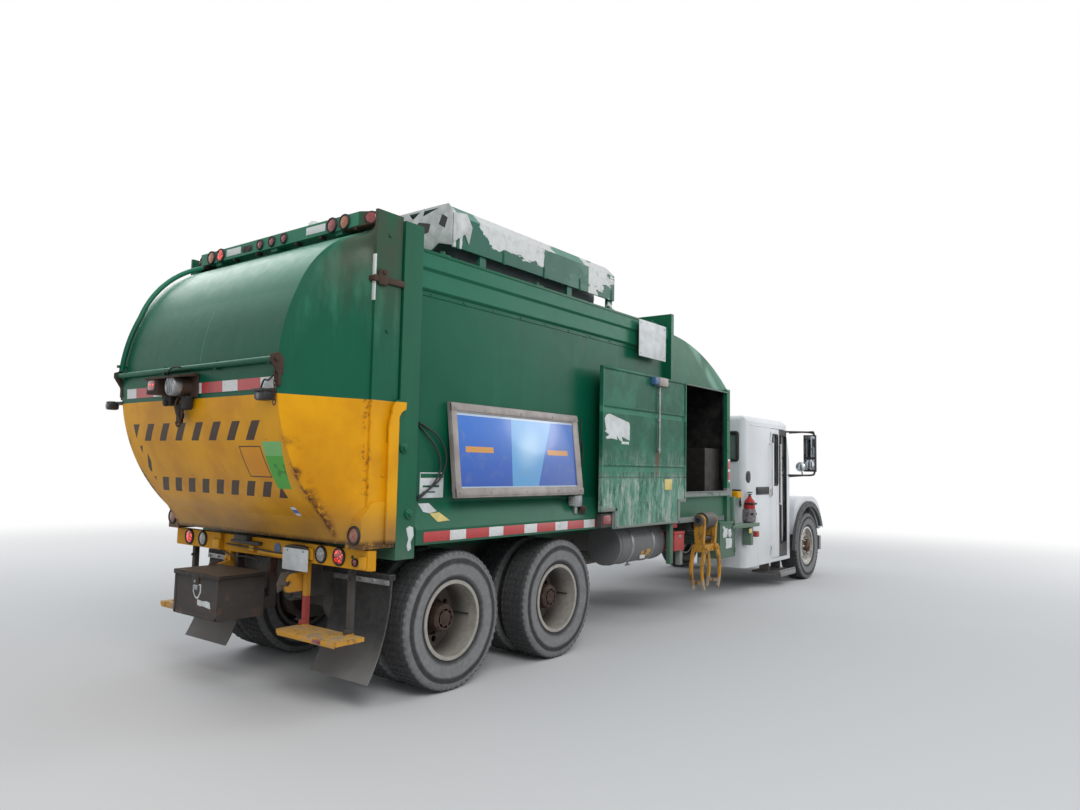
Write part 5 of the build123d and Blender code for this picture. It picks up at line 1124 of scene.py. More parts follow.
# Load body sides
def side_strips():
    "Two-coloured tape on the ledge edges, bolts, blank labels and worn patches."
    for sign, end in ((-1, 1.195), (1, 2.66)):
        form.slab(-1.085, end, sign * (LEDGE_Y - 0.001), sign * (LEDGE_Y + 0.0035), 1.138, 1.212, 0.0015)
    form.made("ledge_strips", "green", ledge_tape)
    form.slab(-1.06, -0.815, -1.1835, -1.179, 1.452, 1.64, 0.001)
    for x0, x1, z0, z1 in ((-1.055, -0.82, 1.6, 1.632), (-1.03, -0.86, 1.53, 1.545),
                           (-1.03, -0.9, 1.49, 1.5)):
        form.slab(x0, x1, -1.1845, -1.182, z0, z1, 0.0006, 1)
    for finish, corners in (
            (0, ((-1.075, 1.412), (-0.965, 1.412), (-0.905, 1.352), (-0.985, 1.34), (-1.045, 1.352))),
            (2, ((-0.985, 1.338), (-0.885, 1.345), (-0.795, 1.282), (-0.925, 1.276)))):
        on_slope = [(x, -1.183 - (1.42 - z) * 0.4316, z + 0.00129) for x, z in corners]
        form.plate(on_slope, (0, 0.003, -0.001), finish)
    form.made("side_labels", "trim", white_label, post_paint, orange_label)
    for x, z in ((-1.3, 1.81), (-1.23, 1.345)):
        form.rod((x, 1.247, z), (x, 1.268, z), 0.034, 24, 0, 0.005)
        form.bolts([(x, 1.262, z)], LEFT, 0.018, 0.022)
    form.bolts([(-1 + 0.36 * number, 1.182, 2.972) for number in range(10)], LEFT, 0.009, 0.007)
    form.slab(-1.155, 2.695, 1.176, 1.186, 2.955, 2.968)
    form.slab(-1.155, 2.695, 1.218, 1.227, 3.268, 3.292)
    form.mirrored()
    form.made("body_bolts", "green", post_paint)
    form.across([(0.7, 3.275), (1.185, 3.275), (1.185, 3.405), (0.7, 3.405)], 2.694, 2.712, 0, 0.002)
    form.bolts([(2.694, y, 3.34) for y in (0.76, 0.94, 1.12)], BACK, 0.01, 0.006)
    form.mirrored()
    form.made("ring_closing_plates", "green", green_paint)
    form.side([(-1.245, 1.245), (-1.215, 1.262), (-1.18, 1.25), (-1.172, 1.19), (-1.2, 1.15), (-1.192, 1.1),
               (-1.222, 1.085), (-1.236, 1.12), (-1.222, 1.17)], -1.2535, -1.249)
    form.made("post_worn_patch", "trim", white_label)
    lines("side_cables", hose_rubber, 0.007, [
        [(-1.09, -1.188, 2.005), (-0.98, -1.2, 1.96), (-0.87, -1.215, 1.88), (-0.815, -1.22, 1.74),
         (-0.86, -1.21, 1.6), (-0.97, -1.2, 1.52), (-1.08, -1.188, 1.46)],
        [(-1.09, -1.188, 1.985), (-1, -1.2, 1.9), (-0.92, -1.21, 1.82), (-0.87, -1.215, 1.7),
         (-0.9, -1.21, 1.6), (-1, -1.2, 1.5), (-1.08, -1.188, 1.44)]])


def ledge_lamp():
    form.slab(0.8, 0.925, -1.285, -1.205, 1.335, 1.445, 0.014)
    form.slab(0.792, 0.802, -1.275, -1.215, 1.347, 1.433, 0.003, 1)
    form.slab(0.84, 0.885, -1.255, -1.225, 1.27, 1.34, 0.004)
    form.made("ledge_work_lamp", "alloy", galvanised, clear_lens)
    form.rod((0.97, -1.215, 1.312), (0.97, -1.275, 1.312), 0.036, 24, 0, 0.006)
    form.rod((0.97, -1.27, 1.312), (0.97, -1.29, 1.312), 0.018, 6)
    form.slab(0.93, 1.01, -1.255, -1.215, 1.26, 1.315, 0.008)
    form.made("ledge_pulley", "frame_black", rusty_iron)
    lines("ledge_lamp_wire", hose_rubber, 0.006, [
        [(0.93, -1.24, 1.42), (0.985, -1.23, 1.46), (1, -1.2, 1.55), (0.99, -1.185, 1.75), (1.02, -1.185, 2),
         (1.03, -1.185, 2.16)],
        [(1.03, -1.19, 1.95), (1.05, -1.2, 1.85), (1.02, -1.205, 1.78), (1.04, -1.19, 1.7)]])


def side_board():
    "Frame rails round the side board, its blank face and screws."
    def board_y(z, lift):
        return -1.3 + (z - 1.45) * 0.1233 - lift

    def leaning(x0, x1, z0, z1, lift, depth, soft):
        "A flat bar that leans with the board."
        form.plate([(x, board_y(z, lift), z) for x, z in ((x0, z0), (x1, z0), (x1, z1), (x0, z1))],
                   (0, depth, 0), 0, soft)

    for z0, z1 in ((1.452, 1.525), (2.105, 2.178)):
        leaning(-0.798, 0.898, z0, z1, 0.012, 0.016, 0.002)
        leaning(-0.798, 0.898, z0 + 0.014, z1 - 0.014, 0.018, 0.007, 0.002)
    for x0, x1 in ((-0.798, -0.738), (0.812, 0.898)):
        leaning(x0, x1, 1.452, 2.178, 0.013, 0.017, 0.003)
    for x in (-0.768, -0.4, 0.05, 0.5, 0.855):
        for z in (1.49, 2.14):
            form.rod((x, board_y(z, 0.016), z), (x, board_y(z, 0.024), z), 0.008, 10)
    form.made("board_rails", "bare_metal", board_frame)
    leaning(-0.745, 0.82, 1.52, 2.11, 0.006, 0.008, 0.001)
    form.made("board_face", "trim", board_print)


def guard_fittings():
    "Torn blank sticker, rod with its switch box, marker, cream sticker and edge flats on the guard panel."
    y = GUARD_Y
    form.side([(1.185, 2.17), (1.215, 2.205), (1.27, 2.222), (1.42, 2.195), (1.64, 2.155), (1.655, 2.12),
               (1.65, 1.975), (1.52, 1.962), (1.5, 2.01), (1.47, 1.968), (1.42, 1.975), (1.4, 2.02),
               (1.3, 1.985), (1.27, 2.02), (1.235, 1.975), (1.24, 2.03), (1.205, 1.99), (1.215, 2.06),
               (1.185, 2.05)], y - 0.003, y + 0.001)
    form.slab(1.5, 1.64, y - 0.003, y + 0.001, 1.935, 1.962, 0.001)
    form.slab(2.4, 2.565, y - 0.003, y + 0.001, 1.475, 1.59, 0.001, 1)
    form.made("guard_stickers", "trim", white_label, orange_label)
    form.rod((2.235, y - 0.022, 1.865), (2.235, y - 0.022, 2.57), 0.011, 14)
    for z in (1.9, 2.21, 2.5):
        form.slab(2.215, 2.255, y - 0.028, y + 0.001, z - 0.01, z + 0.01)
    for x0, x1, rise, z0, z1, soft, finish in (
            (2.155, 2.345, 0.07, 2.575, 2.665, 0.01, 1), (2.075, 2.165, 0.062, 2.583, 2.66, 0.012, 2),
            (2.345, 2.47, 0.03, 2.59, 2.64, 0.006, 3)):
        form.slab(x0, x1, y - rise, y + 0.001, z0, z1, soft, finish)
    form.made("guard_switch_rod", "bare_metal", galvanised, board_frame, blue_label, guard_paint)
    for x0, x1, rise, z0, z1, finish in (
            (1.142, 2.888, 0.012, 2.655, 2.68, 0), (2.865, 2.889, 0.012, 1.375, 2.68, 0),
            (1.141, 1.16, 0.01, 1.285, 2.68, 0), (1.385, 1.42, 0.01, 1.112, 1.315, 1),
            (1.15, 1.42, 0.01, 1.282, 1.315, 1), (2.7, 2.748, 0.01, 1.112, 1.345, 1),
            (2.7, 2.888, 0.01, 1.335, 1.372, 1), (1.4, 2.74, 0.01, 1.112, 1.135, 1)):
        form.slab(x0, x1, y - rise, y + 0.002, z0, z1, 0.004, finish)
    for z in (1.722, 2.292):
        form.slab(1.16, 2.87, y - 0.007, y + 0.002, z, z + 0.02, 0.005)
    form.made("guard_edge_flats", "green", guard_paint, scraped_paint)
    form.slab(1.175, 1.375, -1.33, -1.265, 1.13, 1.265, 0.01)
    form.slab(1.2, 1.35, -1.338, -1.328, 1.16, 1.245, 0.006, 1)
    form.made("guard_marker_lamp", "lens", dark_iron, red_lens)
    form.slab(1.95, 2.535, -1.275, -1.27, 2.88, 3.27, 0.002)
    for x in (2.02, 2.4):
        form.slab(x, x + 0.08, -1.27, -1.221, 3.1, 3.22, 0.003, 1)
    for x in (1.985, 2.5):
        for z in (3.235, 2.915):
            form.rod((x, -1.274, z), (x, -1.28, z), 0.01, 10, 2)
    form.made("rail_sign_blank", "bare_metal", white_label, post_paint, galvanised)


def roof_fittings():
    "Torn skin at the cover's rear, tank straps, valves and pipes, roof rail lugs."
    form.across([(-0.955, 3.5), (-0.955, 3.8), (-0.9, 3.865), (-0.62, 3.868), (-0.6, 3.8), (-0.48, 3.79),
                 (-0.42, 3.862), (-0.1, 3.866), (0.1, 3.8), (0.02, 3.72), (-0.16, 3.7), (-0.22, 3.6),
                 (-0.36, 3.585), (-0.42, 3.5), (-0.6, 3.53), (-0.72, 3.49), (-0.8, 3.54)], -0.566, -0.556, 0,
                0.002)
    form.across([(0.94, 3.52), (0.955, 3.8), (0.9, 3.865), (0.55, 3.866), (0.5, 3.78), (0.62, 3.7),
                 (0.66, 3.56)], -0.566, -0.556, 0, 0.002)
    form.side([(-0.56, 3.52), (-0.56, 3.78), (-0.4, 3.8), (-0.33, 3.7), (-0.42, 3.62), (-0.37, 3.54)],
              -0.9665, -0.9605, 0, 0.002)
    form.made("cover_torn_skin", "cab_white", torn_skin)
    form.across([(-0.7, 3.72), (-0.56, 3.755), (-0.5, 3.7), (-0.58, 3.64), (-0.68, 3.65)], -0.569, -0.565)
    form.across([(-0.9, 3.74), (-0.84, 3.78), (-0.8, 3.7), (-0.87, 3.66)], -0.569, -0.565)
    form.made("cover_holes", "trim", hose_rubber)
    for x in (-0.5, 0.1, 0.7, 1.3, 1.9):
        form.bolts([(x, 0.955, 3.56)], LEFT, 0.01, 0.015)
        form.slab(x - 0.02, x + 0.02, 0.955, 0.966, 3.48, 3.6)
    for x in (-0.9, 0.3, 1.5, 2.4):
        form.slab(x, x + 0.1, 1.1, 1.18, 3.288, 3.318, 0.005)
        form.rod((x + 0.05, 1.14, 3.31), (x + 0.05, 1.14, 3.345), 0.018, 16)
    form.mirrored()
    form.made("roof_lugs", "green", post_paint)
    lines("roof_gas_pipes", galvanised, 0.009, [
        [(-0.46, -0.62, 3.45), (-0.52, -0.62, 3.45), (-0.535, -0.5, 3.44), (-0.535, 0, 3.42),
         (-0.535, 0.55, 3.44)],
        [(-0.46, 0.62, 3.45), (-0.52, 0.62, 3.46), (-0.535, 0.45, 3.38), (-0.535, 0.3, 3.34),
         (-0.6, 0.25, 3.32)],
        [(1.98, 0.45, 3.42), (2.15, 0.45, 3.4), (2.3, 0.5, 3.33), (2.6, 0.52, 3.32)],
        [(1.98, -0.45, 3.42), (2.1, -0.45, 3.4), (2.25, 0, 3.34), (2.6, 0.46, 3.32)]])


# Arm and the boxes beside it
def air_tank_fittings():
    "Straps, end seams, drain tap and a torn sticker on the right air tank."
    y, z, radius = -1.0, 0.9, 0.2015
    for x in (1.8, 2.64):
        form.ring([(0.2005, -0.01), (0.2045, -0.008), (0.2045, 0.008), (0.2005, 0.01)], (x, y, z), AHEAD, 48)
    for x in (2, 2.44):
        form.ring([(0.2005, -0.022), (0.2055, -0.02), (0.2055, 0.02), (0.2005, 0.022)], (x, y, z), AHEAD, 48,
                  1)
    form.rod((2.22, y, 0.705), (2.22, y, 0.665), 0.012, 12, 1)
    form.slab(2.18, 2.26, -1.012, -0.988, 0.66, 0.672, 0.003, 1)
    form.made("air_tank_straps", "tank", tank_paint, galvanised)
    for low, high, x0, x1 in ((200, 222, 2.18, 2.26), (196, 218, 2.29, 2.4), (205, 215, 2.27, 2.285),
                              (218, 226, 2.3, 2.38)):
        rows = [(y + radius * math.cos(turn), z + radius * math.sin(turn))
                for turn in map(math.radians, (low, (low + high) / 2, high))]
        for first, second in zip(rows, rows[1:]):
            form.plate([(x0, *first), (x1 - 0.02, *first), (x1, *second), (x0 + 0.02, *second)],
                       (0, -0.002, -0.001))
    form.slab(2.2, 2.3, -1.165, -1.16, 0.745, 0.785, 0.001, 1)
    form.made("air_tank_sticker", "trim", yellow_paint, white_label)


def arm_side_fittings():
    form.slabs(((2.75, 2.99, -1.285, -1.1, 0.79, 0.995, 0.01), (2.745, 2.995, -1.29, -1.1, 0.975, 1, 0.005),
                (2.735, 2.85, -1.27, -1.2, 1.045, 1.115, 0.01)))
    form.slab(2.85, 2.9, -1.293, -1.28, 0.93, 0.965, 0.004, 1)
    form.made("red_valve_box", "trim", red_paint, galvanised)
    form.slabs(((2.7, 3.56, -1.275, -1.18, 1.118, 1.145, 0.004),
                (2.7, 3.56, -1.285, -1.272, 1.095, 1.147, 0.003),
                (2.95, 3.02, -1.25, -1.19, 0.62, 0.8, 0.005)))
    form.slab(2.645, 2.72, -1.285, -1.235, 0.66, 1.13, 0.006, 1)
    form.made("arm_side_brackets", "green", scraped_paint, post_paint)
    lines("arm_side_hoses", hose_rubber, 0.012, [
        [(2.99, -1.2, 0.92), (3.08, -1.21, 0.9), (3.14, -1.17, 0.98), (3.22, -1.12, 0.96),
         (3.3, -1.02, 0.93)],
        [(2.99, -1.16, 0.86), (3.1, -1.18, 0.82), (3.18, -1.13, 0.88), (3.26, -1.05, 0.9),
         (3.32, -0.96, 0.92)],
        [(4.03, -1.12, 0.96), (3.95, -1.1, 1.02), (3.84, -1.05, 1), (3.76, -0.98, 0.96), (3.7, -0.9, 0.94)],
        [(4.03, -1.06, 0.9), (3.93, -1.04, 0.94), (3.84, -1, 0.9), (3.75, -0.92, 0.92)],
        [(4.03, -1.16, 0.82), (3.94, -1.18, 0.78), (3.85, -1.12, 0.84), (3.78, -1.02, 0.86),
         (3.72, -0.92, 0.9)]])
    face = (-1.2545, -1.249)
    form.side([(4.1, 0.99), (4.155, 0.995), (4.2, 0.96), (4.245, 0.97), (4.255, 0.9), (4.225, 0.86),
               (4.13, 0.852), (4.115, 0.9), (4.14, 0.94)], *face)
    form.side([(4.195, 0.845), (4.375, 0.835), (4.385, 0.785), (4.37, 0.72), (4.2, 0.715), (4.21, 0.77)],
              *face)
    form.side([(4.27, 0.95), (4.35, 0.955), (4.372, 0.88), (4.345, 0.85), (4.28, 0.862)], *face)
    form.slabs(((4.04, 4.48, *face, 1.025, 1.04, 0.002), (4.465, 4.48, *face, 0.61, 1.03, 0.002),
                (4.455, 4.492, -1.262, -1.235, 0.65, 0.71, 0.005),
                (4.455, 4.492, -1.262, -1.235, 0.91, 0.97, 0.005)), 1)
    form.made("valve_box_face", "trim", white_label, post_paint)


def lift_arm_fittings():
    "Pivot caps and the grip cylinder on the lifting arm."
    for start, end in ((3.615, 3.66), (3.285, 3.24)):
        form.rod((start, -1.33, 1.11), (end, -1.33, 1.11), 0.062, 28, 0, 0.006)
    form.rod((3.655, -1.33, 1.11), (3.675, -1.33, 1.11), 0.03, 6)
    form.made("arm_pivot_caps", "frame_black", dark_iron, body="arm_slide")
    low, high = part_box("lift_arm")
    x, y = (low[0] + high[0]) / 2 - ROW_SHIFT, (low[1] + high[1]) / 2
    form.rod((x - 0.1, y, 0.9), (x + 0.1, y, 0.9), 0.03, soft=0.004)
    form.made("arm_grip_cylinder", "ram_steel", ram_steel, body="arm_lift")


# Hopper front and the gap before the cab
def hopper_fittings():
    form.slab(4.335, 4.398, -1.2235, -1.219, 1.54, 1.84, 0.001)
    form.made("post_marker", "lens", post_tape)
    form.bolts([(x, 1.219, z) for x in (2.785, 4.355) for z in (1.55, 1.95, 2.35)], LEFT, 0.011, 0.01)
    form.mirrored()
    form.slab(2.9, 4.31, -1.226, -1.205, 2.69, 2.705, 0.004)
    form.slab(2.9, 4.31, -1.228, -1.205, 1.425, 1.44, 0.004)
    form.made("opening_trim", "green", scraped_paint)
    above_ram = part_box("packer_ram")[1][2] + 0.06
    for x in (3.05, 3.35, 3.65):
        form.slab(x, x + 0.05, 1.1, 1.142, above_ram, 2.68, 0.006)
    form.slab(2.8, 4.3, 1.095, 1.142, above_ram, above_ram + 0.06, 0.006)
    form.made("hopper_ribs", "green", hopper_paint)
    form.slabs(((4.41, 5.3, -1.255, -1.1, 0.972, 0.992, 0.004),
                (4.41, 5.3, -1.262, -1.252, 0.945, 0.994, 0.003),
                (4.41, 4.5, -1.25, -1.16, 0.94, 1.02, 0.006), (4.45, 4.5, -1.25, -1.2, 1, 1.36, 0.005),
                (4.47, 4.72, -1.22, -1.17, 1.3, 1.345, 0.005), (5.02, 5.1, -1.25, -1.13, 0.7, 0.98, 0.005)))
    form.made("extinguisher_shelf", "green", shelf_paint)
    form.ring([(0, 0), (0.05, 0), (0.07, 0.018), (0.072, 0.05), (0.072, 0.26), (0.062, 0.3), (0.03, 0.335),
               (0.024, 0.36), (0, 0.36)], (5.1, -1.2, 0.994), UP, 28)
    form.rod((5.1, -1.2, 1.34), (5.1, -1.2, 1.375), 0.016, 12, 1)
    form.slabs(((5.06, 5.16, -1.21, -1.19, 1.368, 1.384, 0.004),
                (5.05, 5.17, -1.215, -1.185, 1.395, 1.41, 0.004),
                (5.025, 5.175, -1.275, -1.15, 1.1, 1.13, 0.004),
                (5.025, 5.175, -1.275, -1.15, 1.24, 1.265, 0.004)), 1)
    form.made("extinguisher", "trim", red_paint, gasket)
    form.ring([(0, 0), (0.062, 0), (0.088, 0.03), (0.092, 0.1), (0.086, 0.17), (0.08, 0.19), (0.076, 0.19)],
              (5.1, -1.195, 0.992), UP, 26)
    form.made("extinguisher_bag", "trim", bag_vinyl)
    form.slab(4.62, 4.76, -1.235, -1.145, 1.335, 1.43, 0.016)
    form.slab(4.64, 4.74, -1.237, -1.143, 1.425, 1.45, 0.008, 1)
    form.slab(4.93, 5.02, -1.264, -1.259, 0.865, 0.925, 0.002, 2)
    form.slab(5.2, 5.29, -1.262, -1.18, 0.8, 0.875, 0.008, 3)
    form.made("shelf_boxes", "trim", yellow_paint, gasket, orange_label, red_paint)
    lines("gap_hoses", hose_rubber, 0.014, [
        [(4.42, -0.6, 1.42), (4.6, -0.6, 1.3), (4.8, -0.62, 1.22), (5, -0.58, 1.3)],
        [(4.42, -0.5, 1.4), (4.62, -0.5, 1.24), (4.82, -0.5, 1.16), (5.02, -0.46, 1.22)],
        [(4.42, 0.55, 1.3), (4.62, 0.55, 1.16), (4.84, 0.55, 1.1), (5.04, 0.5, 1.2)],
        [(4.74, -1.18, 1.4), (4.84, -1.16, 1.46), (4.94, -1.12, 1.36), (5.03, -1.1, 1.22)]])


# Cab
def seals(name, radius, loops, body="chassis"):
    "Rubber seals round windows, each a loop of corners: straight runs and tight corners."
    runs = []
    for loop in loops:
        corners = [Vector(corner) for corner in loop]
        run = []
        for before, corner, after in zip(corners[-1:] + corners, corners, corners[1:] + corners[:1]):
            near = [corner + line.normalized() * min(0.07, line.length * 0.3)
                    for line in (before - corner, after - corner)]
            run += [near[0], corner, near[1]]
        runs.append(run + run[:1])
    lines(name, gasket, radius, runs, body)


def upright(y, x0, x1, z0, z1):
    "Corners of a window that faces sideways."
    return [(x0, y, z0), (x1, y, z0), (x1, y, z1), (x0, y, z1)]


def cab_rear_and_side():
    seals("corner_window_seals", 0.022, both_sides([(5.043, 0.63, 1.84), (5.043, 1.05, 1.84),
                                                    (5.043, 1.05, 2.22), (5.043, 0.63, 2.22)]))
    y = CAB_Y
    form.plate([(a, y + 0.006, b) for a, b in rounded(5.105, 5.245, 1.53, 1.695, 0.06)], (0, -0.008, 0), 0,
               0.002)
    form.plate([(a, y + 0.009, b) for a, b in rounded(5.122, 5.228, 1.55, 1.675, 0.048)], (0, -0.006, 0), 1)
    for number in range(5):
        z = 1.565 + 0.022 * number
        form.slab(5.128, 5.222, y + 0.004, y + 0.012, z, z + 0.008, 0.002)
    form.slab(5.25, 6.6, y - 0.002, y + 0.005, 2.325, 2.34, 0.003, 2)
    form.mirrored()
    form.slab(5.45, 5.93, -y - 0.01, -y + 0.002, 1.362, 1.472, 0.01)
    form.slab(5.47, 5.91, -y - 0.02, -y - 0.006, 1.385, 1.45, 0.008, 1)
    form.made("cab_side_vents", "trim", black_trim, gasket, cab_paint)
    for x, sign, low, high in ((5.985, -1, 1.35, 2.1), (5.655, 1, 1.15, 1.95)):
        form.rod((x, sign * 1.195, low), (x, sign * 1.195, high), 0.014, 16)
        for z in (low, high):
            form.rod((x, sign * 1.15, z), (x, sign * 1.195, z), 0.014, 16)
            form.rod((x, sign * 1.149, z), (x, sign * 1.158, z), 0.024, 16)
    form.made("cab_grab_bars", "alloy", chrome)
    form.slab(6.262, 6.898, -1.205, -1.199, 0.15, 0.218)
    for number in range(8):
        x = 6.29 + 0.078 * number
        form.slab(x, x + 0.03, -1.185, -0.775, 0.2145, 0.2205, 0.002)
    form.slab(6.255, 6.9, -1.195, -1.185, 0.215, 0.245)
    form.made("cab_step_treads", "alloy", galvanised)
    for y in (-0.62, -0.31, 0, 0.31, 0.62):
        form.ring([(0, 0.034), (0.03, 0.03), (0.046, 0.016), (0.052, 0), (0.054, -0.03)], (6.52, y, 2.478),
                  UP, 24)
    form.made("roof_markers", "lens", amber_lens)


def door_fittings():
    "Seals, pulls and hinges on the doors."
    seals("rear_leaf_seal", 0.01, [upright(-1.156, 6.085, 6.285, 1.495, 2.235)], "fold_rear")
    seals("front_leaf_seal", 0.01, [upright(-1.156, 6.405, 6.625, 0.635, 2.235)], "fold_front")
    seals("left_door_seal", 0.013, [upright(1.156, 5.8, 6.58, 1.575, 2.225)], "cab_door")
    form.rod((6.335, -1.185, 1.2), (6.335, -1.185, 2.1), 0.009, 14)
    for z in (1.22, 1.65, 2.08):
        form.slab(6.325, 6.345, -1.188, -1.148, z - 0.012, z + 0.012)
    form.made("rear_leaf_pull", "alloy", chrome, body="fold_rear")
    form.slab(5.78, 5.93, 1.148, 1.162, 1.36, 1.42, 0.008)
    form.slab(5.8, 5.9, 1.16, 1.185, 1.385, 1.405, 0.006)
    form.rod((5.955, 1.149, 1.39), (5.955, 1.16, 1.39), 0.013, 18, 1)
    form.slab(5.705, 6.675, 1.148, 1.154, 1.515, 1.53, 0.003, 2)
    form.made("left_door_handle", "trim", black_trim, chrome, cab_paint, body="cab_door")


def mirror_fittings():
    "Mirror faces, the small convex mirrors and their brackets."
    lines("mirror_tubes", black_trim, 0.015, both_sides([
        (6.7, 1.13, 2.305), (6.9, 1.25, 2.31), (7.08, 1.4, 2.312), (7.115, 1.438, 2.28), (7.118, 1.442, 2.1),
        (7.118, 1.442, 1.86), (7.115, 1.438, 1.67), (7.08, 1.4, 1.642), (6.9, 1.25, 1.642),
        (6.72, 1.13, 1.642)]))
    for z0, z1 in ((1.925, 2.25), (1.725, 1.895)):
        form.across(rounded(1.285, 1.445, z0, z1, 0.02), 7.0895, 7.0855)
    form.ring([(0, 0.014), (0.045, 0.011), (0.075, 0.003)], (7.083, 1.365, 1.81), BACK, 28)
    form.mirrored()
    form.made("mirror_faces", "glass", mirror_glass)
    centre = (7.02, 1.245, 1.775)
    form.ring([(0, 0.05), (0.03, 0.046), (0.058, 0.03), (0.074, 0.006), (0.076, 0), (0.07, -0.004)], centre,
              AHEAD, 32, 1)
    form.ring([(0, -0.018), (0.035, -0.014), (0.062, -0.006), (0.071, 0)], centre, AHEAD, 32)
    form.rod((7.06, 1.245, 1.775), (7.075, 1.255, 1.645), 0.009, 12, 2)
    form.mirrored()
    form.made("convex_mirrors", "glass", mirror_glass, cab_paint, black_trim)


def hood_fittings():
    "Latches, flare bolts, grille bars, lamp rims and side markers."
    for number in range(11):
        turn = math.radians(8 + 16.4 * number)
        x, z = FRONT_AXLE_X + 0.668 * math.cos(turn), TYRE_RADIUS + 0.668 * math.sin(turn)
        if x < 8.1:
            form.bolts([(x, 1.232, z)], LEFT, 0.01, 0.009)
    form.slab(6.93, 6.99, 0.8, 0.845, 1.33, 1.45, 0.01, 1)
    form.slab(6.945, 6.975, 0.83, 0.86, 1.35, 1.47, 0.006, 1)
    form.mirrored()
    form.made("hood_latches", "trim", gasket, black_trim, body="tilt_hood")
    for number in range(11):
        y = -0.4 + 0.08 * number
        form.slab(8.272, 8.292, y - 0.007, y + 0.007, 0.885, 1.225, 0.004)
    for z in (0.872, 1.055, 1.232):
        form.slab(8.274, 8.294, -0.43, 0.43, z - 0.01, z + 0.01, 0.004)
    form.made("grille_bars", "alloy", chrome, body="tilt_hood")
    for z in (0.893, 1.112):
        form.slab(8.206, 8.222, 0.695, 1.025, z, z + 0.015, 0.004)
    form.ring([(0, 0.018), (0.04, 0.014), (0.066, 0.004), (0.075, -0.002)], (8.212, 0.8, 1.01), AHEAD, 30, 1)
    form.slab(8.208, 8.222, 0.905, 1.005, 0.925, 1.095, 0.01, 2)
    form.mirrored()
    form.made("headlamp_trim", "lens", chrome, clear_lens, amber_lens, body="tilt_hood")


def front_fittings():
    "Blank number plate, fog lamps and bolts on the bumper's flat front."
    nose = BUMPER_FACE_X - 0.001
    form.ring([(0, 0.008), (0.03, 0.0075), (0.046, 0.005), (0.05, 0.001), (0.06, 0.001), (0.062, -0.004)],
              (nose, 0.62, 0.53), AHEAD, 28, 1)
    form.bolts([(nose, y, z) for y in (0.3, 0.42) for z in (0.46, 0.6)], AHEAD, 0.01, 0.007, 2)
    form.mirrored()
    form.across(rounded(-0.155, 0.155, 0.475, 0.585, 0.01), nose, nose + 0.005)
    form.made("front_bumper_fittings", "alloy", white_label, clear_lens, galvanised)


def screen_x(z):
    "X of the windscreen frame's outer face at a height."
    return COWL_X - (z - COWL_Z) * SCREEN_SLOPE


def windscreen_fittings():
    "Rubber seal, centre strip, washer jets and two parked wipers."
    low, high, half = 1.69, 2.29, 1.02
    seals("windscreen_seal", 0.017, [[(screen_x(z), y, z) for y, z in (
        (-half, low), (half, low), (half, high), (-half, high))]])
    middle = (low + high) / 2
    form.slab(screen_x(middle) - 0.016, screen_x(middle) + 0.008, -0.022, 0.022, middle - 0.34, middle + 0.34,
              0.004, 0, Matrix.Rotation(-math.atan(SCREEN_SLOPE), 4, "Y"))
    for y in (-0.16, 0.78):
        z = 1.648
        x = screen_x(z)
        form.ring([(0, 0.034), (0.014, 0.032), (0.019, 0.022), (0.021, 0), (0.03, -0.002)], (x, y, z),
                  (1, 0, 0.4), 20)
        form.rod((x + 0.024, y, z + 0.008), (screen_x(1.8) + 0.04, y - 0.3, 1.8), 0.008, 12, end_radius=0.005)
        for part in (-0.165, 0, 0.165):
            z = 1.8 + part * 0.22
            form.rod((screen_x(z) + 0.034, y - 0.3 - part, z), (screen_x(z) + 0.012, y - 0.3 - part, z),
                     0.006, 8)
        start = Vector((screen_x(1.727) + 0.012, y + 0.03, 1.727))
        end = Vector((screen_x(1.873) + 0.012, y - 0.63, 1.873))
        for lift, radius in ((Vector((0, 0, 0)), 0.007), (Vector((0.016, 0, 0.004)), 0.005)):
            form.rod(start + lift, end + lift, radius, 8)
    for y in (-0.4, 0.4):
        form.slab(COWL_X - 0.01, COWL_X + 0.012, y - 0.015, y + 0.015, 1.605, 1.622, 0.004)
    form.made("windscreen_wipers", "trim", black_trim)


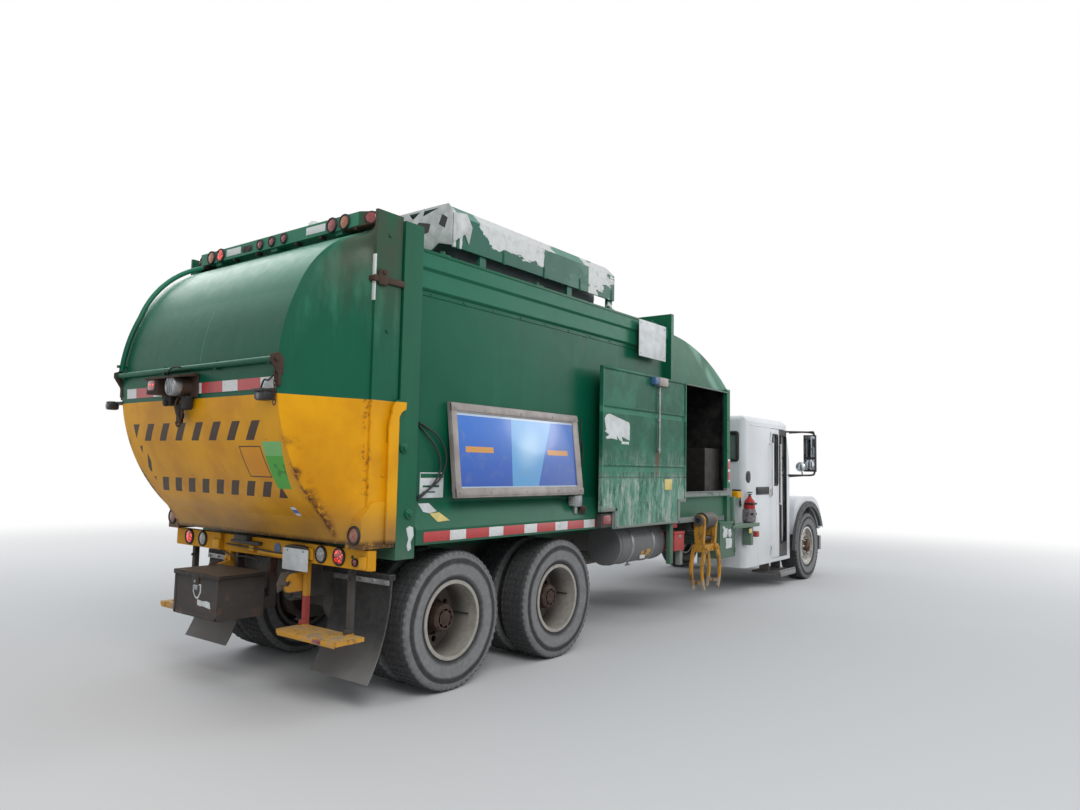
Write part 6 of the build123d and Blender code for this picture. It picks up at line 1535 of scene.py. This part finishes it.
def left_box_fittings():
    "Straps, cap, level glass and tread on the oil tank and battery box of the left side."
    (back, front), (inner, outer), (bottom, top) = OIL_TANK
    for x in (3.26, 3.99):
        x0, x1 = x - 0.032, x + 0.032
        form.slabs(((x0, x1, outer - 0.001, outer + 0.006, bottom - 0.006, top + 0.006, 0.002),
                    (x0, x1, inner, outer + 0.006, top - 0.001, top + 0.006, 0.002),
                    (x0, x1, inner, outer + 0.006, bottom - 0.006, bottom + 0.001, 0.002)))
        form.rod((x, outer + 0.02, top - 0.13), (x, outer + 0.02, top - 0.02), 0.009, 12)
        for z in (top - 0.135, top - 0.035):
            form.slab(x - 0.026, x + 0.026, outer + 0.004, outer + 0.034, z, z + 0.022, 0.004)
    form.made("oil_tank_straps", "alloy", galvanised)
    for x in (back - 0.002, front - 0.014):
        form.slab(x, x + 0.016, outer - 0.002, outer + 0.005, bottom, top, 0.002)
    for z in (top - 0.014, bottom):
        form.slab(back + 0.005, front - 0.005, outer - 0.002, outer + 0.005, z, z + 0.014, 0.002)
    form.ring([(0, 0.06), (0.05, 0.058), (0.06, 0.05), (0.06, 0.018), (0.048, 0.016), (0.048, -0.004)],
              (3.6, 0.9, top), UP, 28, 1)
    form.slab(3.055, 3.095, outer - 0.002, outer + 0.012, 0.58, 0.86, 0.004, 1)
    form.slab(3.066, 3.084, outer + 0.01, outer + 0.015, 0.61, 0.83, 0.002, 2)
    form.rod((4.12, outer - 0.002, 0.56), (4.12, outer + 0.014, 0.56), 0.022, 6, 1)
    form.bolts([(x, outer + 0.003, z) for x in (3.03, 4.22) for z in (0.53, 0.72, 0.91)], LEFT, 0.009, 0.006,
               1)
    form.made("oil_tank_fittings", "frame_black", frame_paint, galvanised, amber_lens)
    for number in range(14):
        x = 5.785 + 0.061 * number
        form.slab(x, x + 0.026, 0.992, 1.108, 0.6495, 0.658, 0.002)
    form.slab(5.756, 6.644, 1.112, 1.126, 0.628, 0.66, 0.004)
    form.slabs(((5.756, 6.644, 0.974, 0.986, 0.868, 0.899, 0.003),
                (5.756, 6.644, 1.118, 1.124, 0.424, 0.438, 0.002),
                (5.754, 5.766, 1.118, 1.124, 0.425, 0.628, 0.002),
                (6.634, 6.646, 1.118, 1.124, 0.425, 0.628, 0.002)), 1)
    for x in (5.95, 6.45):
        form.slab(x - 0.028, x + 0.028, 1.119, 1.13, 0.54, 0.6, 0.004, 1)
        form.slab(x - 0.014, x + 0.014, 1.126, 1.142, 0.515, 0.575, 0.004, 1)
    form.bolts([(x, 1.119, z) for x in (5.79, 6.2, 6.61) for z in (0.455, 0.61)], LEFT, 0.009, 0.008)
    form.made("battery_box_fittings", "alloy", galvanised, frame_paint)


def engine_fittings():
    "What the raised hood shows: rocker cover, manifolds, belts, air filter, header tank and hoses."
    form.slab(7.04, 7.82, -0.145, 0.145, 1.28, 1.345, 0.022, segments=3)
    for number in range(6):
        x = 7.1 + 0.132 * number
        form.slab(x - 0.008, x + 0.008, -0.12, 0.12, 1.34, 1.354, 0.004)
        form.rod((x, 0.13, 1.285), (x, 0.245, 1.262), 0.026, 16)
        form.rod((x, -0.295, 1.16), (x, -0.345, 1.14), 0.03, 16, 1, 0.004)
    form.bolts([(x, y, 1.288) for x in (7.07, 7.25, 7.43, 7.61, 7.79) for y in (-0.158, 0.158)], UP, 0.012,
               0.01, 2)
    form.rod((7.06, 0.25, 1.255), (7.8, 0.25, 1.255), 0.048, 24, 0, 0.012)
    form.rod((7.06, -0.36, 1.13), (7.8, -0.36, 1.13), 0.04, 20, 1, 0.01)
    form.ring([(0, 0.09), (0.055, 0.088), (0.062, 0.05), (0.105, 0.045), (0.112, 0.02), (0.112, -0.02),
               (0.07, -0.05), (0.062, -0.09), (0, -0.092)], (7.22, -0.42, 1.13), AHEAD, 30, 1)
    form.ring([(0, 0.03), (0.034, 0.028), (0.04, 0.018), (0.04, -0.004)], (7.7, 0, 1.345), UP, 24, 2)
    form.made("engine_top", "frame_black", ram_steel, rusty_iron, black_trim)
    form.rod((7.02, 0.48, 1.16), (7.5, 0.48, 1.16), 0.125, 36, 0, 0.02)
    for x in (7.12, 7.4):
        form.ring([(0.125, -0.014), (0.131, -0.012), (0.131, 0.012), (0.125, 0.014)], (x, 0.48, 1.16), AHEAD,
                  36, 2)
        form.slab(x - 0.02, x + 0.02, 0.42, 0.5, 0.955, 1.05, 0.004)
    form.slab(6.93, 7.13, -0.62, -0.44, 1.1, 1.33, 0.03, 1, segments=3)
    form.ring([(0, 0.03), (0.03, 0.028), (0.036, 0.018), (0.036, -0.004)], (7.03, -0.53, 1.33), UP, 24)
    form.slab(6.95, 7.11, -0.6, -0.4, 0.955, 1.105, 0.006)
    form.made("engine_filter_and_tank", "trim", black_trim, white_label, galvanised)
    form.ring([(0.268, -0.06), (0.3, -0.05), (0.3, 0.03), (0.268, 0.03)], (7.905, 0, 1), AHEAD, 40,
              closed=True)
    for x, y, z, radius in ((7.852, 0, 1, 0.085), (7.86, 0.2, 1.15, 0.052), (7.86, -0.2, 1.13, 0.06),
                            (7.86, 0, 0.72, 0.095)):
        form.ring([(0, 0.016), (radius * 0.5, 0.016), (radius * 0.6, 0.008), (radius * 0.9, 0.008),
                   (radius, 0.016), (radius, -0.016), (0, -0.016)], (x, y, z), AHEAD, 28, 1)
    for number in range(19):
        y = -0.385 + 0.0428 * number
        form.slab(7.928, 7.938, y - 0.004, y + 0.004, 0.98, 1.245, 0.001)
    form.slab(7.93, 8.012, -0.405, 0.405, 1.245, 1.275, 0.01)
    form.ring([(0, 0.022), (0.03, 0.02), (0.036, 0.01), (0.036, -0.004)], (7.97, -0.25, 1.275), UP, 24, 1)
    form.made("engine_fan_side", "frame_black", black_trim, ram_steel)
    lines("engine_hoses", hose_rubber, 0.028, [
        [(7.93, 0.28, 1.2), (7.86, 0.3, 1.24), (7.76, 0.2, 1.33), (7.66, 0.1, 1.31)],
        [(7.93, -0.32, 1.02), (7.84, -0.38, 1), (7.74, -0.36, 0.98), (7.66, -0.3, 0.98)]])
    lines("engine_air_pipe", black_trim, 0.022, [
        [(7.48, 0.48, 1.16), (7.6, 0.48, 1.17), (7.7, 0.42, 1.27), (7.62, 0.2, 1.355), (7.4, -0.1, 1.395),
         (7.22, -0.34, 1.33), (7.2, -0.42, 1.22)],
        [(7.05, -0.5, 1.12), (7.12, -0.4, 1.2), (7.3, -0.24, 1.3), (7.5, -0.17, 1.31)]])


def underbody_fittings():
    "Brake chambers, air reservoirs, hoses and spring clips under the frame."
    for axle_x in AXLE_XS.values():
        places = [(axle_x - back, 0.4, 0.6) for back in (0.1, 0.17, 0.33, 0.36)]
        form.rod(places[0], places[1], 0.014, 12)
        form.rod(places[1], places[2], 0.082, 24, 0, 0.012)
        form.rod(places[2], places[3], 0.055, 24, 0, 0.008)
    form.mirrored()
    for x0, x1 in ((2, 2.62), (2.95, 3.55)):
        form.rod((x0, 0.18, 0.82), (x1, 0.18, 0.82), 0.125, 32, 0, 0.02)
        for share in (0.2, 0.8):
            form.ring([(0.127, -0.018), (0.131, -0.018), (0.131, 0.018), (0.127, 0.018)],
                      (x0 + (x1 - x0) * share, 0.18, 0.82), AHEAD, 32)
    form.made("brake_chambers", "frame_black", axle_iron)
    runs = both_sides([(-1.4, 0.375, 0.9), (-0.6, 0.375, 0.88), (0.8, 0.372, 0.9), (2.4, 0.375, 0.87),
                       (4.2, 0.372, 0.89), (5.6, 0.375, 0.88), (6.8, 0.375, 0.86)])
    for axle_x in AXLE_XS.values():
        runs += both_sides([(axle_x - 0.25, 0.33, 0.66), (axle_x - 0.22, 0.33, 0.76),
                            (axle_x - 0.1, 0.36, 0.84)])
    lines("frame_air_lines", hose_rubber, 0.01, runs)
    form.bolts([(-1.35 + 0.42 * number, 0.428, z) for number in range(21) for z in (0.76, 0.9)], LEFT, 0.012,
               0.012)
    form.mirrored()
    form.made("frame_bolts", "frame_black", frame_paint)


for build in (wheel_tyres, wheel_fittings, tailgate_band, light_bar_fittings, work_lamp_fittings,
              gate_camera_boxes, tailgate_sides, rear_beam_fittings, step_fittings, toolbox_fittings,
              flap_fittings, side_strips, ledge_lamp, side_board, guard_fittings, roof_fittings,
              air_tank_fittings, arm_side_fittings, lift_arm_fittings, hopper_fittings, cab_rear_and_side,
              door_fittings, mirror_fittings, hood_fittings, front_fittings, windscreen_fittings,
              left_box_fittings, engine_fittings, underbody_fittings):
    build()


# Camera, light and floor
def shown_white(shading, mask, shader, emitter):
    "Mixes a shader with plain white where the mask is 1."
    white = shading.node(emitter, {}, {"Color": (1, 1, 1), "Strength": 1.0})
    inputs = {0: mask, 1: shader.outputs[0], 2: white.outputs[0]}
    return shading.node("ShaderNodeMixShader", {}, inputs).outputs[0]


def floor_finish():
    "Pale floor that keeps the shadow near the truck and turns plain white far off."
    pale = Finish("floor_pale", None, **{"Base Color": (0.66, 0.66, 0.66), "Roughness": 0.9,
                                         "Specular IOR Level": 0.1})
    far = pale.length(pale.x + ROW_SHIFT, pale.y).ease(7.5, 17)
    mask = (far * pale.seen()[0]).smallest(1)
    pale.feed(pale.output.inputs["Surface"], shown_white(pale, mask, pale.shader, "ShaderNodeEmission"))
    return pale.material


def studio_world():
    "Soft sky light, with plain white where the background itself is looked at."
    world = bpy.data.worlds.new("studio")
    sky = Shading(world)
    seen, rays = sky.seen()
    seen = sky.node("ShaderNodeMath", {"operation": "ADD", "use_clamp": True},
                    {0: seen, 1: rays["Is Transmission Ray"]}).outputs[0]
    soft = sky.node("ShaderNodeBackground", {}, {"Color": (0.9, 0.95, 1.0), "Strength": 0.62})
    surface = shown_white(sky, seen, soft, "ShaderNodeBackground")
    sky.node("ShaderNodeOutputWorld", {}, {"Surface": surface})
    return world


def stage():
    scene = bpy.context.scene
    scene.view_settings.view_transform = "Standard"
    scene.world = studio_world()

    yaw, pitch, roll = 0.650671662, 0.0786355685, 0.0201292932
    forward = Vector((math.cos(pitch) * math.cos(yaw), math.cos(pitch) * math.sin(yaw), math.sin(pitch)))
    right = Vector((math.sin(yaw), -math.cos(yaw), 0))
    up = right.cross(forward)
    level, tilt = math.cos(roll), math.sin(roll)
    right, up = right * level + up * tilt, up * level - right * tilt
    data = bpy.data.cameras.new("photo_camera")
    data.sensor_fit = "HORIZONTAL"
    data.sensor_width = 36
    data.lens = 36 * 774.859 / 1080
    camera = bpy.data.objects.new("photo_camera", data)
    camera.matrix_world = Matrix.Translation((-5.07509 + ROW_SHIFT, -5.33169, 1.70365)) @ Matrix(
        (right, up, -forward)).transposed().to_4x4()
    scene.collection.objects.link(camera)
    scene.camera = camera

    floor_mesh = bmesh.new()
    bmesh.ops.create_grid(floor_mesh, x_segments=1, y_segments=1, size=60)
    floor_data = bpy.data.meshes.new("floor")
    floor_mesh.to_mesh(floor_data)
    floor_mesh.free()
    floor = bpy.data.objects.new("floor", floor_data)
    scene.collection.objects.link(floor)
    floor_data.materials.append(floor_finish())

    for name, place, aim, size, power in (
            ("key_light", (-9, -9, 9), (-1, 0, 1.5), 6, 620),
            ("fill_light", (10, -8, 7), (3, 0, 1.5), 7, 420),
            ("back_light", (-2, 11, 8), (0, 0, 2), 7, 420)):
        light = bpy.data.lights.new(name, "AREA")
        light.shape = "DISK"
        light.size = size
        light.energy = power
        lamp = bpy.data.objects.new(name, light)
        turn = (Vector(aim) - Vector(place)).to_track_quat("-Z", "Y").to_matrix().to_4x4()
        lamp.matrix_world = Matrix.Translation(place) @ turn
        scene.collection.objects.link(lamp)


stage()
